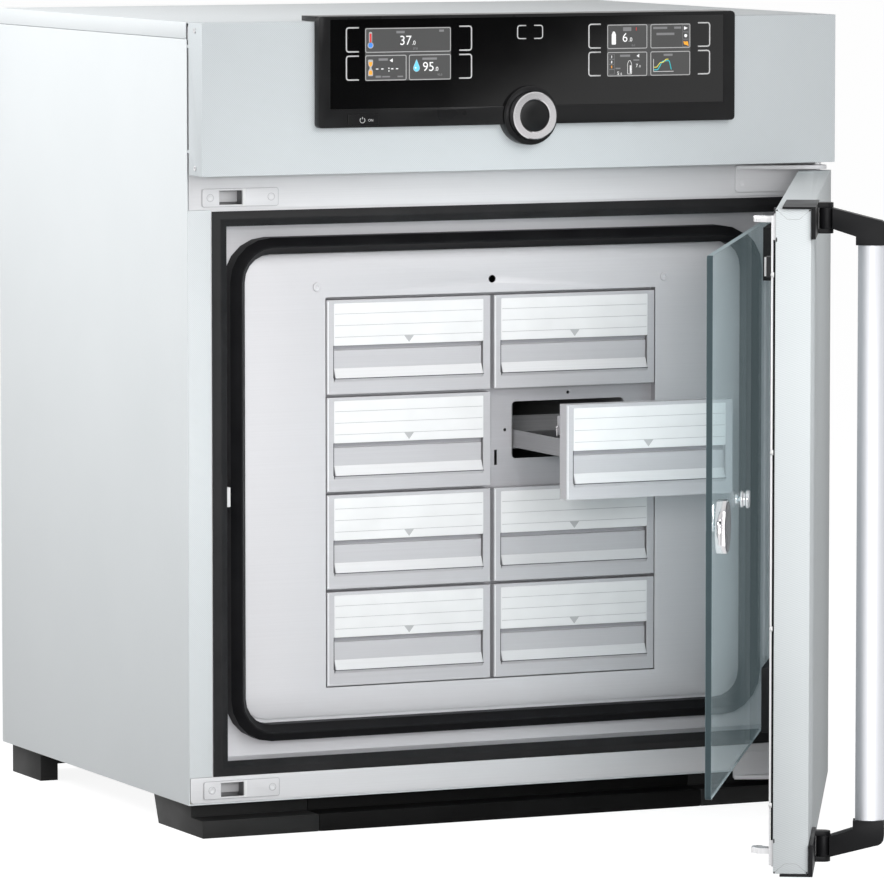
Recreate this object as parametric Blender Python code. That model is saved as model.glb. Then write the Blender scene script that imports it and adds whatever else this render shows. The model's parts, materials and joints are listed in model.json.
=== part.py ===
"""In vitro fertilization incubator: a bench cabinet with a glass inner door,
a heated outer door and a bank of eight front drawers.

Metres, +Z up. X runs across the front, centred on the cabinet, Y runs back from
the cabinet's front face, and Z is the height above the bench.
Doors and drawers are modelled shut and are turned or slid open by the empties
that carry them, so each moving piece has its parent empty on its joint.
"""
import math

import bmesh
import bpy
from mathutils import Matrix, Vector

mm = 0.001

# Clearances and sheet
seat_gap = 0.3 * mm
running_gap = 0.4 * mm
sheet = 1.5 * mm
thin_sheet = 1.2 * mm

# Cabinet
body_width = 719 * mm
body_height = 801 * mm
body_depth = 539 * mm
foot_height = 33 * mm
half_width = body_width / 2
body_top = foot_height + body_height
roof_flange = 17 * mm
roof_setback = 2 * mm
side_return = 26.2 * mm
frame_corner = 4 * mm
frame_side_gap = 0.5 * mm
frame_top_gap = 0.6 * mm
band_step = 1.8 * mm

# Header with the control panel
header_height = 155 * mm
header_bottom = body_top - header_height
header_reach = 40.8 * mm
header_slit = 4.7 * mm
header_top_drop = 0.1 * mm
bridge_height = 3 * mm
bridge_levels = (header_bottom + 24 * mm, body_top - 24.5 * mm)
return_bottom = foot_height + 28.6 * mm
return_top = header_bottom - 36.2 * mm

# Front recess and chamber
seal_centre = (foot_height + header_bottom) / 2 - 4.6 * mm
recess_half_width = half_width - 42.5 * mm
recess_half_height = (header_bottom - foot_height) / 2 - 47.2 * mm
recess_depth = 41.8 * mm
recess_bottom = seal_centre - recess_half_height
recess_top = seal_centre + recess_half_height
chamber_half_width = recess_half_width - 37 * mm
chamber_half_height = recess_half_height - 37.8 * mm
chamber_depth = body_depth - 139 * mm
chamber_corner = 30 * mm
chamber_bottom = seal_centre - chamber_half_height
chamber_top = seal_centre + chamber_half_height
chamber_back = recess_depth + chamber_depth
liner_front = band_step + sheet + seat_gap
insulation_back = body_depth - 39 * mm
insulation_top = header_bottom + 21 * mm

# Gaskets
outer_seal_half_width = recess_half_width + 14.9 * mm
outer_seal_half_height = recess_half_height + 14 * mm
outer_seal_width = 15.5 * mm
outer_seal_side = 2 * mm
outer_seal_shoulder = 3 * mm
outer_seal_ridge = 4.7 * mm
inner_seal_half_width = recess_half_width - 14.5 * mm
inner_seal_half_height = recess_half_height - 15.9 * mm
inner_seal_width = 17 * mm
inner_seal_corner = 45 * mm
inner_seal_side = (18 * mm, 16 * mm)
inner_seal_shoulder = (23 * mm, 20 * mm)
inner_seal_height = 26.9 * mm

# Outer door, shut
door_half_width = half_width - 4 * mm
door_bottom = foot_height - 2.7 * mm
door_top = header_bottom - 9 * mm
door_front = 39.5 * mm
door_inside = 5.5 * mm
door_sheet = 2 * mm
door_pan_edge = 6 * mm
door_pan_reach = 2 * mm
door_pan_depth = 5 * mm
door_pan_face = door_inside - door_pan_reach
door_edge_strip = (door_half_width - 10 * mm, door_half_width - 6.5 * mm)
door_strip_reach = 4.3 * mm
door_axis = (half_width - 13 * mm, -25 * mm)
door_open = 61
hinge_pin = 3 * mm
hinge_pin_length = 11 * mm
hinge_plate_left = half_width - 97.3 * mm
hinge_plate_right = half_width - 2 * mm
hinge_plate_height = 28 * mm
hinge_plate_corner = 3 * mm
hinge_tongue = 4 * mm
hinge_tongue_root = 4 * mm
hinge_nose = 10 * mm
hinge_rise = 1.5 * mm

# Glass door, shut
pane_left = recess_half_width - 11 * mm
pane_bottom = recess_bottom + 11.4 * mm
pane_top = recess_top - 8.7 * mm
pane_front = 8 * mm
pane_thickness = 6 * mm
pane_corner = 4 * mm
pane_edge_gap = 6 * mm
glass_axis = (recess_half_width - 5 * mm, 6 * mm)
glass_open = 57.66
leaf_length = 106 * mm
leaf_thickness = 8.2 * mm
leaf_knuckle = 3.8 * mm
leaf_slope = (10 * mm, 22 * mm)
leaf_root = 3 * mm
leaf_pin = 1.5 * mm
leaf_pin_length = 8 * mm
lug_height = 4 * mm
lug_front = 3.6 * mm
lug_back = 10 * mm
lug_reach = 3.4 * mm
upper_leaf = (pane_top - 59 * mm, pane_top - 3.5 * mm)
lower_leaf = (pane_bottom - 2 * mm, pane_bottom + 66 * mm)
latch_knob_radius = 27 * mm
latch_knob_height = 9.6 * mm
latch_knob_place = (51 * mm - pane_left, seal_centre - 1.4 * mm)
latch_flutes = 12
latch_flute_depth = 1.1 * mm
latch_spindle = 4 * mm
latch_cam = (9 * mm, 22 * mm)
latch_cam_thickness = 2.5 * mm
latch_slot = (34 * mm, 9 * mm)
latch_slot_depth = 4 * mm
pull_knob_radius = 9.8 * mm
pull_knob_height = 9.4 * mm
pull_knob_place = (-20.7 * mm, seal_centre + 2.3 * mm)
pull_knob_stem = 2.5 * mm
striker_left_gap = 12.5 * mm
striker_depths = (20 * mm, 39.7 * mm)
striker_height = 27.2 * mm
striker_step = (5 * mm, 7 * mm)

# Drawer bank: two columns of four
drawer_columns = 2
drawer_rows = 4
drawer_width = 185.8 * mm
drawer_pitch = (2 * chamber_half_height - 71.4 * mm) / drawer_rows
drawer_height = drawer_pitch - 3.35 * mm
drawer_top = chamber_top - 45.5 * mm
drawer_column_gap = 4.4 * mm
drawer_edge_gap = 1.3 * mm
drawer_end_gap = 3 * mm
drawer_face = 40 * mm
drawer_rim_depth = 16.3 * mm
drawer_margin = 8.1 * mm
grip_top = 47.3 * mm
grip_bottom = 84.2 * mm
grip_flat = (53 * mm, 71 * mm)
grip_recess = 6 * mm
grip_flat_recess = 3 * mm
grip_reach = 2 * mm
grip_lip_bottom = 81 * mm
grip_side_gap = 0.8 * mm
plate_half_width = inner_seal_half_width - inner_seal_width - 0.5 * mm
plate_bottom = seal_centre - inner_seal_half_height + inner_seal_width + 3.5 * mm
plate_top = seal_centre + inner_seal_half_height - inner_seal_width - 1.3 * mm
plate_corner = inner_seal_corner - inner_seal_width
sensor_radius = 4 * mm
sensor_level = drawer_top + 17.1 * mm
window_plate_front = drawer_face + drawer_rim_depth
window_width = 130.6 * mm
window_height = drawer_height - 37.8 * mm
window_drop = 12.4 * mm
window_corner = 4.6 * mm
window_margin = 4 * mm
plate_hole_radius = 1.8 * mm
plate_side_hole = (20 * mm, 42 * mm)
plate_top_hole = 5 * mm
plate_slot_sides = (7.6 * mm, 10.9 * mm)
plate_slot_drops = (78.6 * mm, 62.7 * mm)
tray_side_gap = 2.4 * mm
tray_height = 18.5 * mm
tray_drop = 42.1 * mm
tray_length = chamber_depth - 62 * mm
rack_length = chamber_depth - 69 * mm
rack_side_gap = 0.8 * mm
rack_foot = chamber_bottom + 0.4 * mm
ledge_reach = 9 * mm
open_drawer = 6
drawer_open = 177 * mm

# Control panel
panel_half_width = 236 * mm
panel_bottom = body_top - 107.8 * mm
panel_top = body_top + 5.5 * mm
panel_front = 51 * mm
panel_corner = 4 * mm
panel_lip_back = 8 * mm
cover_half_width = 222.5 * mm
cover_bottom = panel_bottom + 19.1 * mm
cover_top = panel_top - 3.5 * mm
cover_thickness = 1.2 * mm
cover_pocket = 1.3 * mm
cover_bond = 0.1 * mm
knob_level = panel_bottom + 9 * mm
knob_socket_radius = 30.3 * mm
knob_socket_front = 55 * mm
knob_socket_floor = 46.5 * mm
knob_radius = 24.6 * mm
knob_edge = 1 * mm
knob_cap_radius = 16.1 * mm
knob_cap_sink = 1 * mm
knob_cap_edge = (2 * mm, 1 * mm)
knob_front = 66 * mm
knob_travel = 1.5 * mm
power_key_centre = (-186.6 * mm, panel_bottom + 7.5 * mm)
power_key_size = (34 * mm, 11.5 * mm)
power_key_front = 51.8 * mm
power_key_depth = 3.6 * mm
power_key_travel = 1 * mm

# Door handle and its hooks, places on the shut door
handle_x = 94 * mm - door_half_width
knuckle_axis_y = -51.2 * mm
knuckle_radius = 7 * mm
knuckle_pin = 2.5 * mm
clamp_sheet = 4 * mm
clamp_plate = 2 * mm
clamp_left = -half_width
clamp_right = handle_x + 22 * mm
clamp_back = 12 * mm
clamp_leg = 28.7 * mm
eye_levels = (door_top - 24 * mm, door_top - 4 * mm)
bar_near = 80 * mm
bar_depth = 30.5 * mm
bar_width = 20 * mm
bar_wall = 2.5 * mm
bar_flat = 0.86
bar_top = door_top - 40 * mm
bar_spigot = 14 * mm
arm_top = door_top - 15.3 * mm
arm_corner = 9 * mm
arm_crook = 8.4 * mm
hook_x = 43.7 * mm - door_half_width
hook_pivot_y = -22 * mm
hook_tip_y = 17 * mm
hook_neck = (7 * mm, 6 * mm)
hook_width = 21.4 * mm
hook_bottoms = (door_bottom + 14.1 * mm, door_top - 14.7 * mm)
hook_thickness = 5.6 * mm
hook_pin = 3 * mm
hook_shoulder = 11.2 * mm
hook_swing = (7 * mm, 4 * mm)
hook_slot_gap = 1 * mm
latch_levels = (hook_bottoms[0] + 3.45 * mm, hook_bottoms[1] - 0.05 * mm)
latch_window = (25.4 * mm, 14.4 * mm)
latch_frame_margin = 1 * mm
latch_pocket_margin = 3 * mm
latch_pocket_depth = 6 * mm
latch_plate_left = hook_x - 31.5 * mm
latch_plate_right = hook_x + 52.3 * mm
latch_plate_height = 18.3 * mm
latch_plate_corner = 1.5 * mm

# Feet
foot_side = half_width - 10.5 * mm
foot_front = 11 * mm
foot_step = 18 * mm
foot_step_back = 20 * mm
foot_back = 110 * mm
foot_draft = 14 * mm
foot_joint = foot_side - 130 * mm
rear_foot_front = body_depth - 89 * mm
rear_foot_back = body_depth - 3 * mm
rear_foot_width = 20 * mm
rear_rail_bottom = 18 * mm

# Fan and rear inlet
fan_level = seal_centre
fan_radius = 52 * mm
fan_hub = 14 * mm
fan_width = 30 * mm
fan_blades = 7
fan_wall_gap = 6 * mm
fan_shaft = 3 * mm
fan_shaft_seat = 12 * mm
fan_blade_root = 2 * mm
shaft_clearance = 1 * mm
motor_radius = 33 * mm
motor_length = 46 * mm
inlet_centre = (109.5 * mm - half_width, foot_height + 57 * mm)
inlet_flange = (50 * mm, 32 * mm)
inlet_body = (42 * mm, 24 * mm)
inlet_depth = 22 * mm
inlet_wall = 2 * mm


# Materials
def finish(name, colour, roughness, metallic):
    """A plain Principled material for one kind of surface."""
    made = bpy.data.materials.new(name)
    made.use_nodes = True
    shader = made.node_tree.nodes["Principled BSDF"]
    shader.inputs["Base Color"].default_value = (*colour, 1)
    shader.inputs["Roughness"].default_value = roughness
    shader.inputs["Metallic"].default_value = metallic
    return made


for leftover in list(bpy.data.objects):
    bpy.data.objects.remove(leftover, do_unlink=True)

embossed_steel = finish("embossed_steel", (0.66, 0.68, 0.69), 0.42, 0.85)
satin_steel = finish("satin_steel", (0.56, 0.56, 0.58), 0.36, 0.9)
bright_chrome = finish("bright_chrome", (0.82, 0.82, 0.83), 0.08, 1.0)
satin_aluminium = finish("satin_aluminium", (0.74, 0.75, 0.77), 0.3, 1.0)
black_plastic = finish("black_plastic", (0.02, 0.02, 0.022), 0.5, 0.0)
black_rubber = finish("black_rubber", (0.015, 0.015, 0.015), 0.65, 0.0)
black_glass = finish("black_glass", (0.005, 0.005, 0.006), 0.08, 0.0)
tinted_glass = finish("tinted_glass", (0.45, 0.58, 0.6), 0.05, 0.0)
white_foam = finish("white_foam", (0.8, 0.8, 0.76), 0.9, 0.0)


# Building blocks
def on_axis(axis, a, b, depth):
    """Place a flat point (a, b) at a depth along an axis."""
    if axis == "x":
        return (depth, a, b)
    if axis == "y":
        return (a, depth, b)
    return (a, b, depth)


def rounded(left, right, low, high, radius, steps=4):
    """Outline of a rectangle with round corners."""
    if radius <= 0:
        return [(left, low), (right, low), (right, high), (left, high)]
    corners = ((right - radius, low + radius, -90), (right - radius, high - radius, 0),
               (left + radius, high - radius, 90), (left + radius, low + radius, 180))
    outline = []
    for a, b, start in corners:
        for step in range(steps + 1):
            angle = math.radians(start + 90 * step / steps)
            outline.append((a + radius * math.cos(angle), b + radius * math.sin(angle)))
    return outline


def circle(a, b, radius, steps=24):
    """Outline of a circle."""
    return [(a + radius * math.cos(2 * math.pi * step / steps),
             b + radius * math.sin(2 * math.pi * step / steps)) for step in range(steps)]


def prism(outline, axis, low, high, holes=()):
    """A flat outline, with holes where they are given, extruded along an axis."""
    shape = bmesh.new()
    loops = []
    for loop in (outline, *holes):
        points = [shape.verts.new(on_axis(axis, a, b, low)) for a, b in loop]
        loops.append([shape.edges.new((points[i - 1], points[i])) for i in range(len(points))])
    if holes:
        edges = [edge for loop in loops for edge in loop]
        bmesh.ops.triangle_fill(shape, edges=edges, use_beauty=True)
    else:
        bmesh.ops.contextual_create(shape, geom=loops[0])
    grown = bmesh.ops.extrude_face_region(shape, geom=shape.faces[:])
    moved = [item for item in grown["geom"] if isinstance(item, bmesh.types.BMVert)]
    bmesh.ops.translate(shape, verts=moved, vec=on_axis(axis, 0, 0, high - low))
    bmesh.ops.recalc_face_normals(shape, faces=shape.faces[:])
    return shape


def block(left, right, front, back, low, high):
    """A box between six planes."""
    return prism(rounded(left, right, low, high, 0), "y", front, back)


def turned(profile, axis, centre, steps=32):
    """A solid of revolution; profile points are (radius, place along the axis)."""
    shape = bmesh.new()
    rings = []
    for radius, place in profile:
        if rings and (radius, place) == profile[0]:
            rings.append(rings[0])
            continue
        if radius == 0:
            rings.append([shape.verts.new(on_axis(axis, *centre, place))])
            continue
        rings.append([shape.verts.new(on_axis(axis, a, b, place))
                      for a, b in circle(*centre, radius, steps)])
    for one, two in zip(rings, rings[1:]):
        for i in range(steps):
            j = (i + 1) % steps
            corners = [one[i % len(one)], one[j % len(one)], two[j % len(two)], two[i % len(two)]]
            unique = list(dict.fromkeys(corners))
            shape.faces.new(unique)
    bmesh.ops.recalc_face_normals(shape, faces=shape.faces[:])
    return shape


def ring_seal(half_width, half_height, corner, section, steps):
    """A closed section swept round a rectangle; section points are (inset, depth)."""
    shape = bmesh.new()
    loops = []
    for inset, depth in section:
        radius = max(corner - inset, 0)
        outline = rounded(-half_width + inset, half_width - inset, seal_centre - half_height + inset,
                          seal_centre + half_height - inset, radius, steps)
        loops.append([shape.verts.new((a, depth, b)) for a, b in outline])
    for one, two in zip(loops, loops[1:] + loops[:1]):
        for i in range(len(one)):
            shape.faces.new((one[i - 1], one[i], two[i], two[i - 1]))
    bmesh.ops.recalc_face_normals(shape, faces=shape.faces[:])
    return shape


def piece(name, shape, look, carrier=None, smooth=False):
    """Turn a shape into a named object, carried by an empty where it moves."""
    origin = Vector(carrier["shut_place"]) if carrier else Vector()
    bmesh.ops.translate(shape, verts=shape.verts[:], vec=-origin)
    mesh = bpy.data.meshes.new(name)
    shape.to_mesh(mesh)
    shape.free()
    if smooth:
        mesh.shade_smooth()
        mesh.set_sharp_from_angle(angle=math.radians(35))
    made = bpy.data.objects.new(name, mesh)
    bpy.context.collection.objects.link(made)
    made.data.materials.append(look)
    made.parent = carrier
    return made


def tool(name, shape, carrier=None):
    """A cutter or a lump to join, which is not a piece of its own."""
    made = piece(name, shape, white_foam, carrier)
    made.hide_render = True
    made.display_type = "WIRE"
    return made


def combine(target, helper, operation):
    """Join a helper to a piece, or cut it away."""
    step = target.modifiers.new(helper.name, "BOOLEAN")
    step.operation = operation
    step.solver = "EXACT"
    step.object = helper


def joined(target, shape, label):
    combine(target, tool(target.name + "_" + label, shape, target.parent), "UNION")


def cut(target, shape, label):
    combine(target, tool(target.name + "_" + label, shape, target.parent), "DIFFERENCE")


def pivot(name, place, carrier=None, turn=0, slide=0):
    """An empty on a joint's axis; turn and slide open it from its shut place."""
    made = bpy.data.objects.new(name, None)
    bpy.context.collection.objects.link(made)
    made["shut_place"] = place
    base = Vector(carrier["shut_place"]) if carrier else Vector()
    made.parent = carrier
    made.location = Vector(place) - base - Vector((0, slide, 0))
    made.rotation_euler = (0, 0, math.radians(turn))
    return made


def folded(line, thickness):
    """Outline of a sheet whose middle follows a line of points."""
    near, far = [], []
    for i, point in enumerate(line):
        here = Vector(point)
        before = (here - Vector(line[i - 1])).normalized() if i else None
        after = (Vector(line[i + 1]) - here).normalized() if i + 1 < len(line) else before
        before = before or after
        across = (before + after).normalized().orthogonal()
        reach = thickness / 2 / max(across.dot(before.orthogonal()), 0.3)
        near.append(tuple(here + across * reach))
        far.append(tuple(here - across * reach))
    return near + far[::-1]


# Cabinet shell
def make_housing():
    bottom = foot_height
    side_top = body_top - roof_flange - seat_gap
    inner = half_width - sheet
    outline = [(-half_width, bottom), (half_width, bottom), (half_width, side_top), (inner, side_top),
               (inner, bottom + sheet), (-inner, bottom + sheet), (-inner, side_top), (-half_width, side_top)]
    shell = piece("housing_shell", prism(outline, "y", 0, body_depth), embossed_steel)
    for label, left, right in (("left_return", -half_width, -half_width + side_return),
                               ("right_return", half_width - side_return, half_width)):
        joined(shell, block(left, right, 0, sheet, return_bottom, return_top), label)

    low = body_top - roof_flange
    roof = [(-half_width, low), (-inner, low), (-inner, body_top - sheet), (inner, body_top - sheet),
            (inner, low), (half_width, low), (half_width, body_top), (-half_width, body_top)]
    piece("roof_cover", prism(roof, "y", roof_setback, body_depth), embossed_steel)

    back = prism(rounded(-inner + seat_gap, inner - seat_gap, bottom + sheet + seat_gap,
                         body_top - sheet - seat_gap, 0),
                 "y", body_depth - sheet - seat_gap, body_depth - seat_gap,
                 [rounded(inlet_centre[0] - inlet_body[0] / 2 - seat_gap,
                          inlet_centre[0] + inlet_body[0] / 2 + seat_gap,
                          inlet_centre[1] - inlet_body[1] / 2 - seat_gap,
                          inlet_centre[1] + inlet_body[1] / 2 + seat_gap, 0)])
    piece("back_panel", back, satin_steel)


def make_header():
    header_top = body_top - header_top_drop
    inner = half_width - sheet
    header = piece("header_panel", block(-half_width, half_width, -header_reach, -header_slit,
                                         header_bottom, header_top), embossed_steel)
    cut(header, block(-inner, inner, -header_reach + sheet, 0, header_bottom + sheet, header_top - sheet),
        "inside")
    joined(header, block(-inner, inner, -header_reach + sheet / 2, roof_setback - running_gap,
                         header_top - sheet, header_top), "top_flange")
    for level in bridge_levels:
        for label, left, right in (("left_bridge", -half_width, -inner), ("right_bridge", inner, half_width)):
            joined(header, block(left, right, -header_slit - sheet, -seat_gap, level - bridge_height / 2,
                                 level + bridge_height / 2), f"{label}_{level:.3f}")


def latch_opening(level, margin):
    return rounded(hook_x - latch_window[0] / 2 - margin, hook_x + latch_window[0] / 2 + margin,
                   level - latch_window[1] / 2 - margin, level + latch_window[1] / 2 + margin, 0)


def make_face_frame():
    side = half_width - sheet - frame_side_gap
    top = body_top - sheet - frame_top_gap
    opening = rounded(-recess_half_width, recess_half_width, recess_bottom, recess_top, 0)
    windows = [latch_opening(level, latch_frame_margin) for level in latch_levels]
    frame = piece("face_frame", prism(rounded(-side, side, foot_height + sheet + seat_gap, top, frame_corner),
                                      "y", 0, band_step + sheet, [opening, *windows]), satin_steel)
    cut(frame, block(-half_width, half_width, -sheet, band_step, return_bottom - seat_gap,
                     return_top + seat_gap), "seal_land")


def make_gaskets():
    base = band_step - seat_gap
    ridge = base - outer_seal_ridge
    width = outer_seal_width
    shoulder = base - outer_seal_shoulder
    section = [(0, base), (0, base - outer_seal_side), (0.25 * width, shoulder), (0.45 * width, ridge),
               (0.55 * width, ridge), (0.75 * width, shoulder), (width, base - outer_seal_side), (width, base)]
    piece("outer_gasket", ring_seal(outer_seal_half_width, outer_seal_half_height, 0, section, 0),
          black_rubber)
    base = recess_depth - seat_gap
    ridge = base - inner_seal_height
    width = inner_seal_width
    outside, inside = inner_seal_side
    outer_shoulder, inner_shoulder = inner_seal_shoulder
    section = [(0, base), (0, base - outside), (0.24 * width, base - outer_shoulder), (0.5 * width, ridge),
               (0.58 * width, ridge), (0.82 * width, base - inner_shoulder), (width, base - inside),
               (width, base)]
    piece("inner_gasket", ring_seal(inner_seal_half_width, inner_seal_half_height, inner_seal_corner,
                                    section, 5), black_rubber)


def chamber_outline(growth):
    return rounded(-chamber_half_width - growth, chamber_half_width + growth, chamber_bottom - growth,
                   chamber_top + growth, chamber_corner + growth, 5)


def make_chamber():
    wall = thin_sheet
    liner = piece("chamber_liner", block(-recess_half_width - wall, recess_half_width + wall, liner_front,
                                         recess_depth + wall, recess_bottom - wall, recess_top + wall),
                  satin_steel)
    joined(liner, prism(chamber_outline(wall), "y", recess_depth, chamber_back + wall), "chamber")
    cut(liner, block(-recess_half_width, recess_half_width, 0, recess_depth, recess_bottom, recess_top), "recess")
    cut(liner, prism(chamber_outline(0), "y", 0, chamber_back), "inside")
    cut(liner, prism(circle(0, fan_level, fan_shaft + shaft_clearance, 16), "y", chamber_back - wall,
                     chamber_back + 2 * wall), "shaft_hole")
    lug_left = glass_axis[0] - lug_reach - shaft_clearance
    for label, leaf_end, side in (("upper_lug", upper_leaf[1], 1), ("lower_lug", lower_leaf[0], -1)):
        low, high = sorted((leaf_end + side * seat_gap, leaf_end + side * (seat_gap + lug_height)))
        joined(liner, block(lug_left, recess_half_width + wall / 2, lug_front, lug_back, low, high), label)
        low, high = sorted((leaf_end - side * leaf_pin_length, leaf_end + side * lug_height / 2))
        joined(liner, prism(circle(*glass_axis, leaf_pin, 12), "z", low, high), label + "_pin")

    space = seat_gap + wall
    foam = piece("insulation", block(-half_width + sheet + seat_gap, half_width - sheet - seat_gap, liner_front,
                                     insulation_back, foot_height + sheet + seat_gap, insulation_top), white_foam)
    cut(foam, block(-recess_half_width - space, recess_half_width + space, 0, recess_depth + space,
                    recess_bottom - space, recess_top + space), "recess")
    cut(foam, prism(chamber_outline(space), "y", 0, chamber_back + space), "chamber")
    cut(foam, prism(circle(0, fan_level, motor_radius + shaft_clearance, 24), "y", chamber_back, insulation_back + wall),
        "motor")
    for level in latch_levels:
        cut(foam, prism(latch_opening(level, latch_pocket_margin), "y", 0, hook_tip_y + latch_pocket_depth),
            f"pocket_{level:.3f}")


# Drawer bank
def column_centre(column):
    return (column - (drawer_columns - 1) / 2) * (drawer_width + drawer_column_gap)


def row_top(row):
    return drawer_top - row * drawer_pitch


def bank_limits():
    side = column_centre(drawer_columns - 1) + drawer_width / 2 + drawer_edge_gap
    low = row_top(drawer_rows - 1) - drawer_height - drawer_edge_gap
    return side, low, drawer_top + drawer_end_gap


def make_bank_frame():
    side, low, high = bank_limits()
    sensor = circle(0, sensor_level, sensor_radius, 16)
    outline = rounded(-plate_half_width, plate_half_width, plate_bottom, plate_top, plate_corner)
    front = prism(outline, "y", drawer_face, recess_depth - seat_gap, [rounded(-side, side, low, high, 0), sensor])
    piece("drawer_front_frame", front, satin_steel)

    holes = []
    for column in range(drawer_columns):
        for row in range(drawer_rows):
            middle = column_centre(column)
            left = middle - drawer_width / 2
            top = row_top(row)
            holes.append(rounded(middle - window_width / 2, middle + window_width / 2,
                                 top - window_drop - window_height, top - window_drop, window_corner, 3))
            holes.append(rounded(left + plate_slot_sides[0], left + plate_slot_sides[1],
                                 top - plate_slot_drops[0], top - plate_slot_drops[1], 0))
            holes.append(circle(left + plate_side_hole[0], top - plate_side_hole[1], plate_hole_radius, 8))
            holes.append(circle(middle, top - plate_top_hole, plate_hole_radius, 8))
    rim = window_margin
    outline = rounded(-side - rim, side + rim, low - rim, high + rim, 0)
    plate = piece("window_plate", prism(outline, "y", window_plate_front, window_plate_front + thin_sheet,
                                        holes), satin_steel)
    ring = prism(outline, "y", recess_depth, window_plate_front + thin_sheet / 2,
                 [rounded(-side - rim + thin_sheet, side + rim - thin_sheet, low - rim + thin_sheet,
                          high + rim - thin_sheet, 0)])
    joined(plate, ring, "rim")


def tray_half_width():
    return window_width / 2 - tray_side_gap


def make_rack():
    front = window_plate_front + thin_sheet + seat_gap
    back = front + rack_length
    inner = tray_half_width() + rack_side_gap
    top = drawer_top
    side = column_centre(drawer_columns - 1) + inner + thin_sheet
    rack = piece("drawer_rack", block(-side, side, back - thin_sheet, back, rack_foot, top), satin_steel)
    for column in range(drawer_columns):
        for hand in (-1, 1):
            wall = column_centre(column) + hand * inner
            outline = [(wall + hand * thin_sheet, rack_foot), (wall + hand * thin_sheet, top), (wall, top)]
            for row in range(drawer_rows):
                ledge = row_top(row) - tray_drop - tray_height - seat_gap
                tip = wall - hand * ledge_reach
                outline += [(wall, ledge), (tip, ledge), (tip, ledge - thin_sheet), (wall, ledge - thin_sheet)]
            outline.append((wall, rack_foot))
            joined(rack, prism(outline, "y", front, back - thin_sheet / 2), f"wall_{column}_{hand}")


def make_drawer(number, column, row):
    middle = column_centre(column)
    top = row_top(row)
    left = middle - drawer_width / 2
    right = middle + drawer_width / 2
    shut = (middle, drawer_face, top - drawer_height / 2)
    slide = drawer_open if number == open_drawer else 0
    carrier = pivot(f"drawer_slide_{number}", shut, None, 0, slide)
    rim_back = window_plate_front - seat_gap
    skin = drawer_face + thin_sheet

    front = piece(f"drawer_front_{number}", block(left, right, drawer_face, rim_back, top - drawer_height, top),
                  satin_steel, carrier)
    cut(front, block(left + thin_sheet, right - thin_sheet, skin, rim_back + thin_sheet,
                     top - drawer_height + thin_sheet, top - thin_sheet), "inside")
    cut(front, block(left + drawer_margin, right - drawer_margin, drawer_face - thin_sheet, skin + thin_sheet,
                     top - grip_bottom, top - grip_top), "grip_opening")
    half = thin_sheet / 2
    middle_y = drawer_face + half
    line = [(middle_y, top - grip_top + half), (middle_y + grip_recess, top - grip_top + half),
            (middle_y + grip_recess, top - grip_flat[0] + 2 * half),
            (middle_y + grip_flat_recess, top - grip_flat[0]), (middle_y + grip_flat_recess, top - grip_flat[1]),
            (middle_y - grip_reach, top - grip_lip_bottom + half), (middle_y, top - grip_bottom - half)]
    margin = drawer_margin + grip_side_gap
    joined(front, prism(folded(line, thin_sheet), "x", left + margin, right - margin), "grip")

    tray_front = drawer_face + grip_recess + thin_sheet + seat_gap
    wall = tray_half_width()
    tray_top = top - tray_drop
    tray_back = tray_front + tray_length
    tray = piece(f"drawer_tray_{number}", block(middle - wall, middle + wall, tray_front, tray_back,
                                                tray_top - tray_height, tray_top), satin_steel, carrier)
    cut(tray, block(middle - wall + thin_sheet, middle + wall - thin_sheet, tray_front + thin_sheet,
                    tray_back - thin_sheet, tray_top - tray_height + thin_sheet, tray_top + thin_sheet), "inside")


def make_drawers():
    number = 0
    for column in range(drawer_columns):
        for row in range(drawer_rows):
            number += 1
            make_drawer(number, column, row)


# Outer door, its hinge brackets and its handle
def tongue_outline():
    """Top view of a hinge tongue: a gusset off the plate, with a round nose at the pin."""
    axis_x, axis_y = door_axis
    back = -seat_gap - sheet / 2
    outline = [(hinge_plate_left + hinge_tongue_root, back), (hinge_plate_left, -hinge_tongue_root)]
    for step in range(7):
        angle = math.radians(245 + 115 * step / 6)
        outline.append((axis_x + hinge_nose * math.cos(angle), axis_y + hinge_nose * math.sin(angle)))
    outline.append((axis_x + hinge_nose, back))
    return outline


def make_hinge_brackets():
    for name, door_edge, side in (("hinge_bracket_top", door_top, 1), ("hinge_bracket_bottom", door_bottom, -1)):
        near = door_edge + side * hinge_rise
        far = near + side * hinge_tongue
        plate = sorted((far, far - side * hinge_plate_height))
        outline = rounded(hinge_plate_left, hinge_plate_right, *plate, hinge_plate_corner, 3)
        bracket = piece(name, prism(outline, "y", -seat_gap - sheet, -seat_gap), satin_steel)
        joined(bracket, prism(tongue_outline(), "z", *sorted((near, far))), "tongue")
        pin = sorted(((near + far) / 2, door_edge - side * hinge_pin_length))
        joined(bracket, prism(circle(*door_axis, hinge_pin, 16), "z", *pin), "pin")


def make_latch_plates():
    for name, level in (("latch_plate_bottom", latch_levels[0]), ("latch_plate_top", latch_levels[1])):
        outline = rounded(latch_plate_left, latch_plate_right, level - latch_plate_height / 2,
                          level + latch_plate_height / 2, latch_plate_corner, 3)
        piece(name, prism(outline, "y", -seat_gap - thin_sheet, -seat_gap, [latch_opening(level, 0)]),
              satin_steel)


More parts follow.
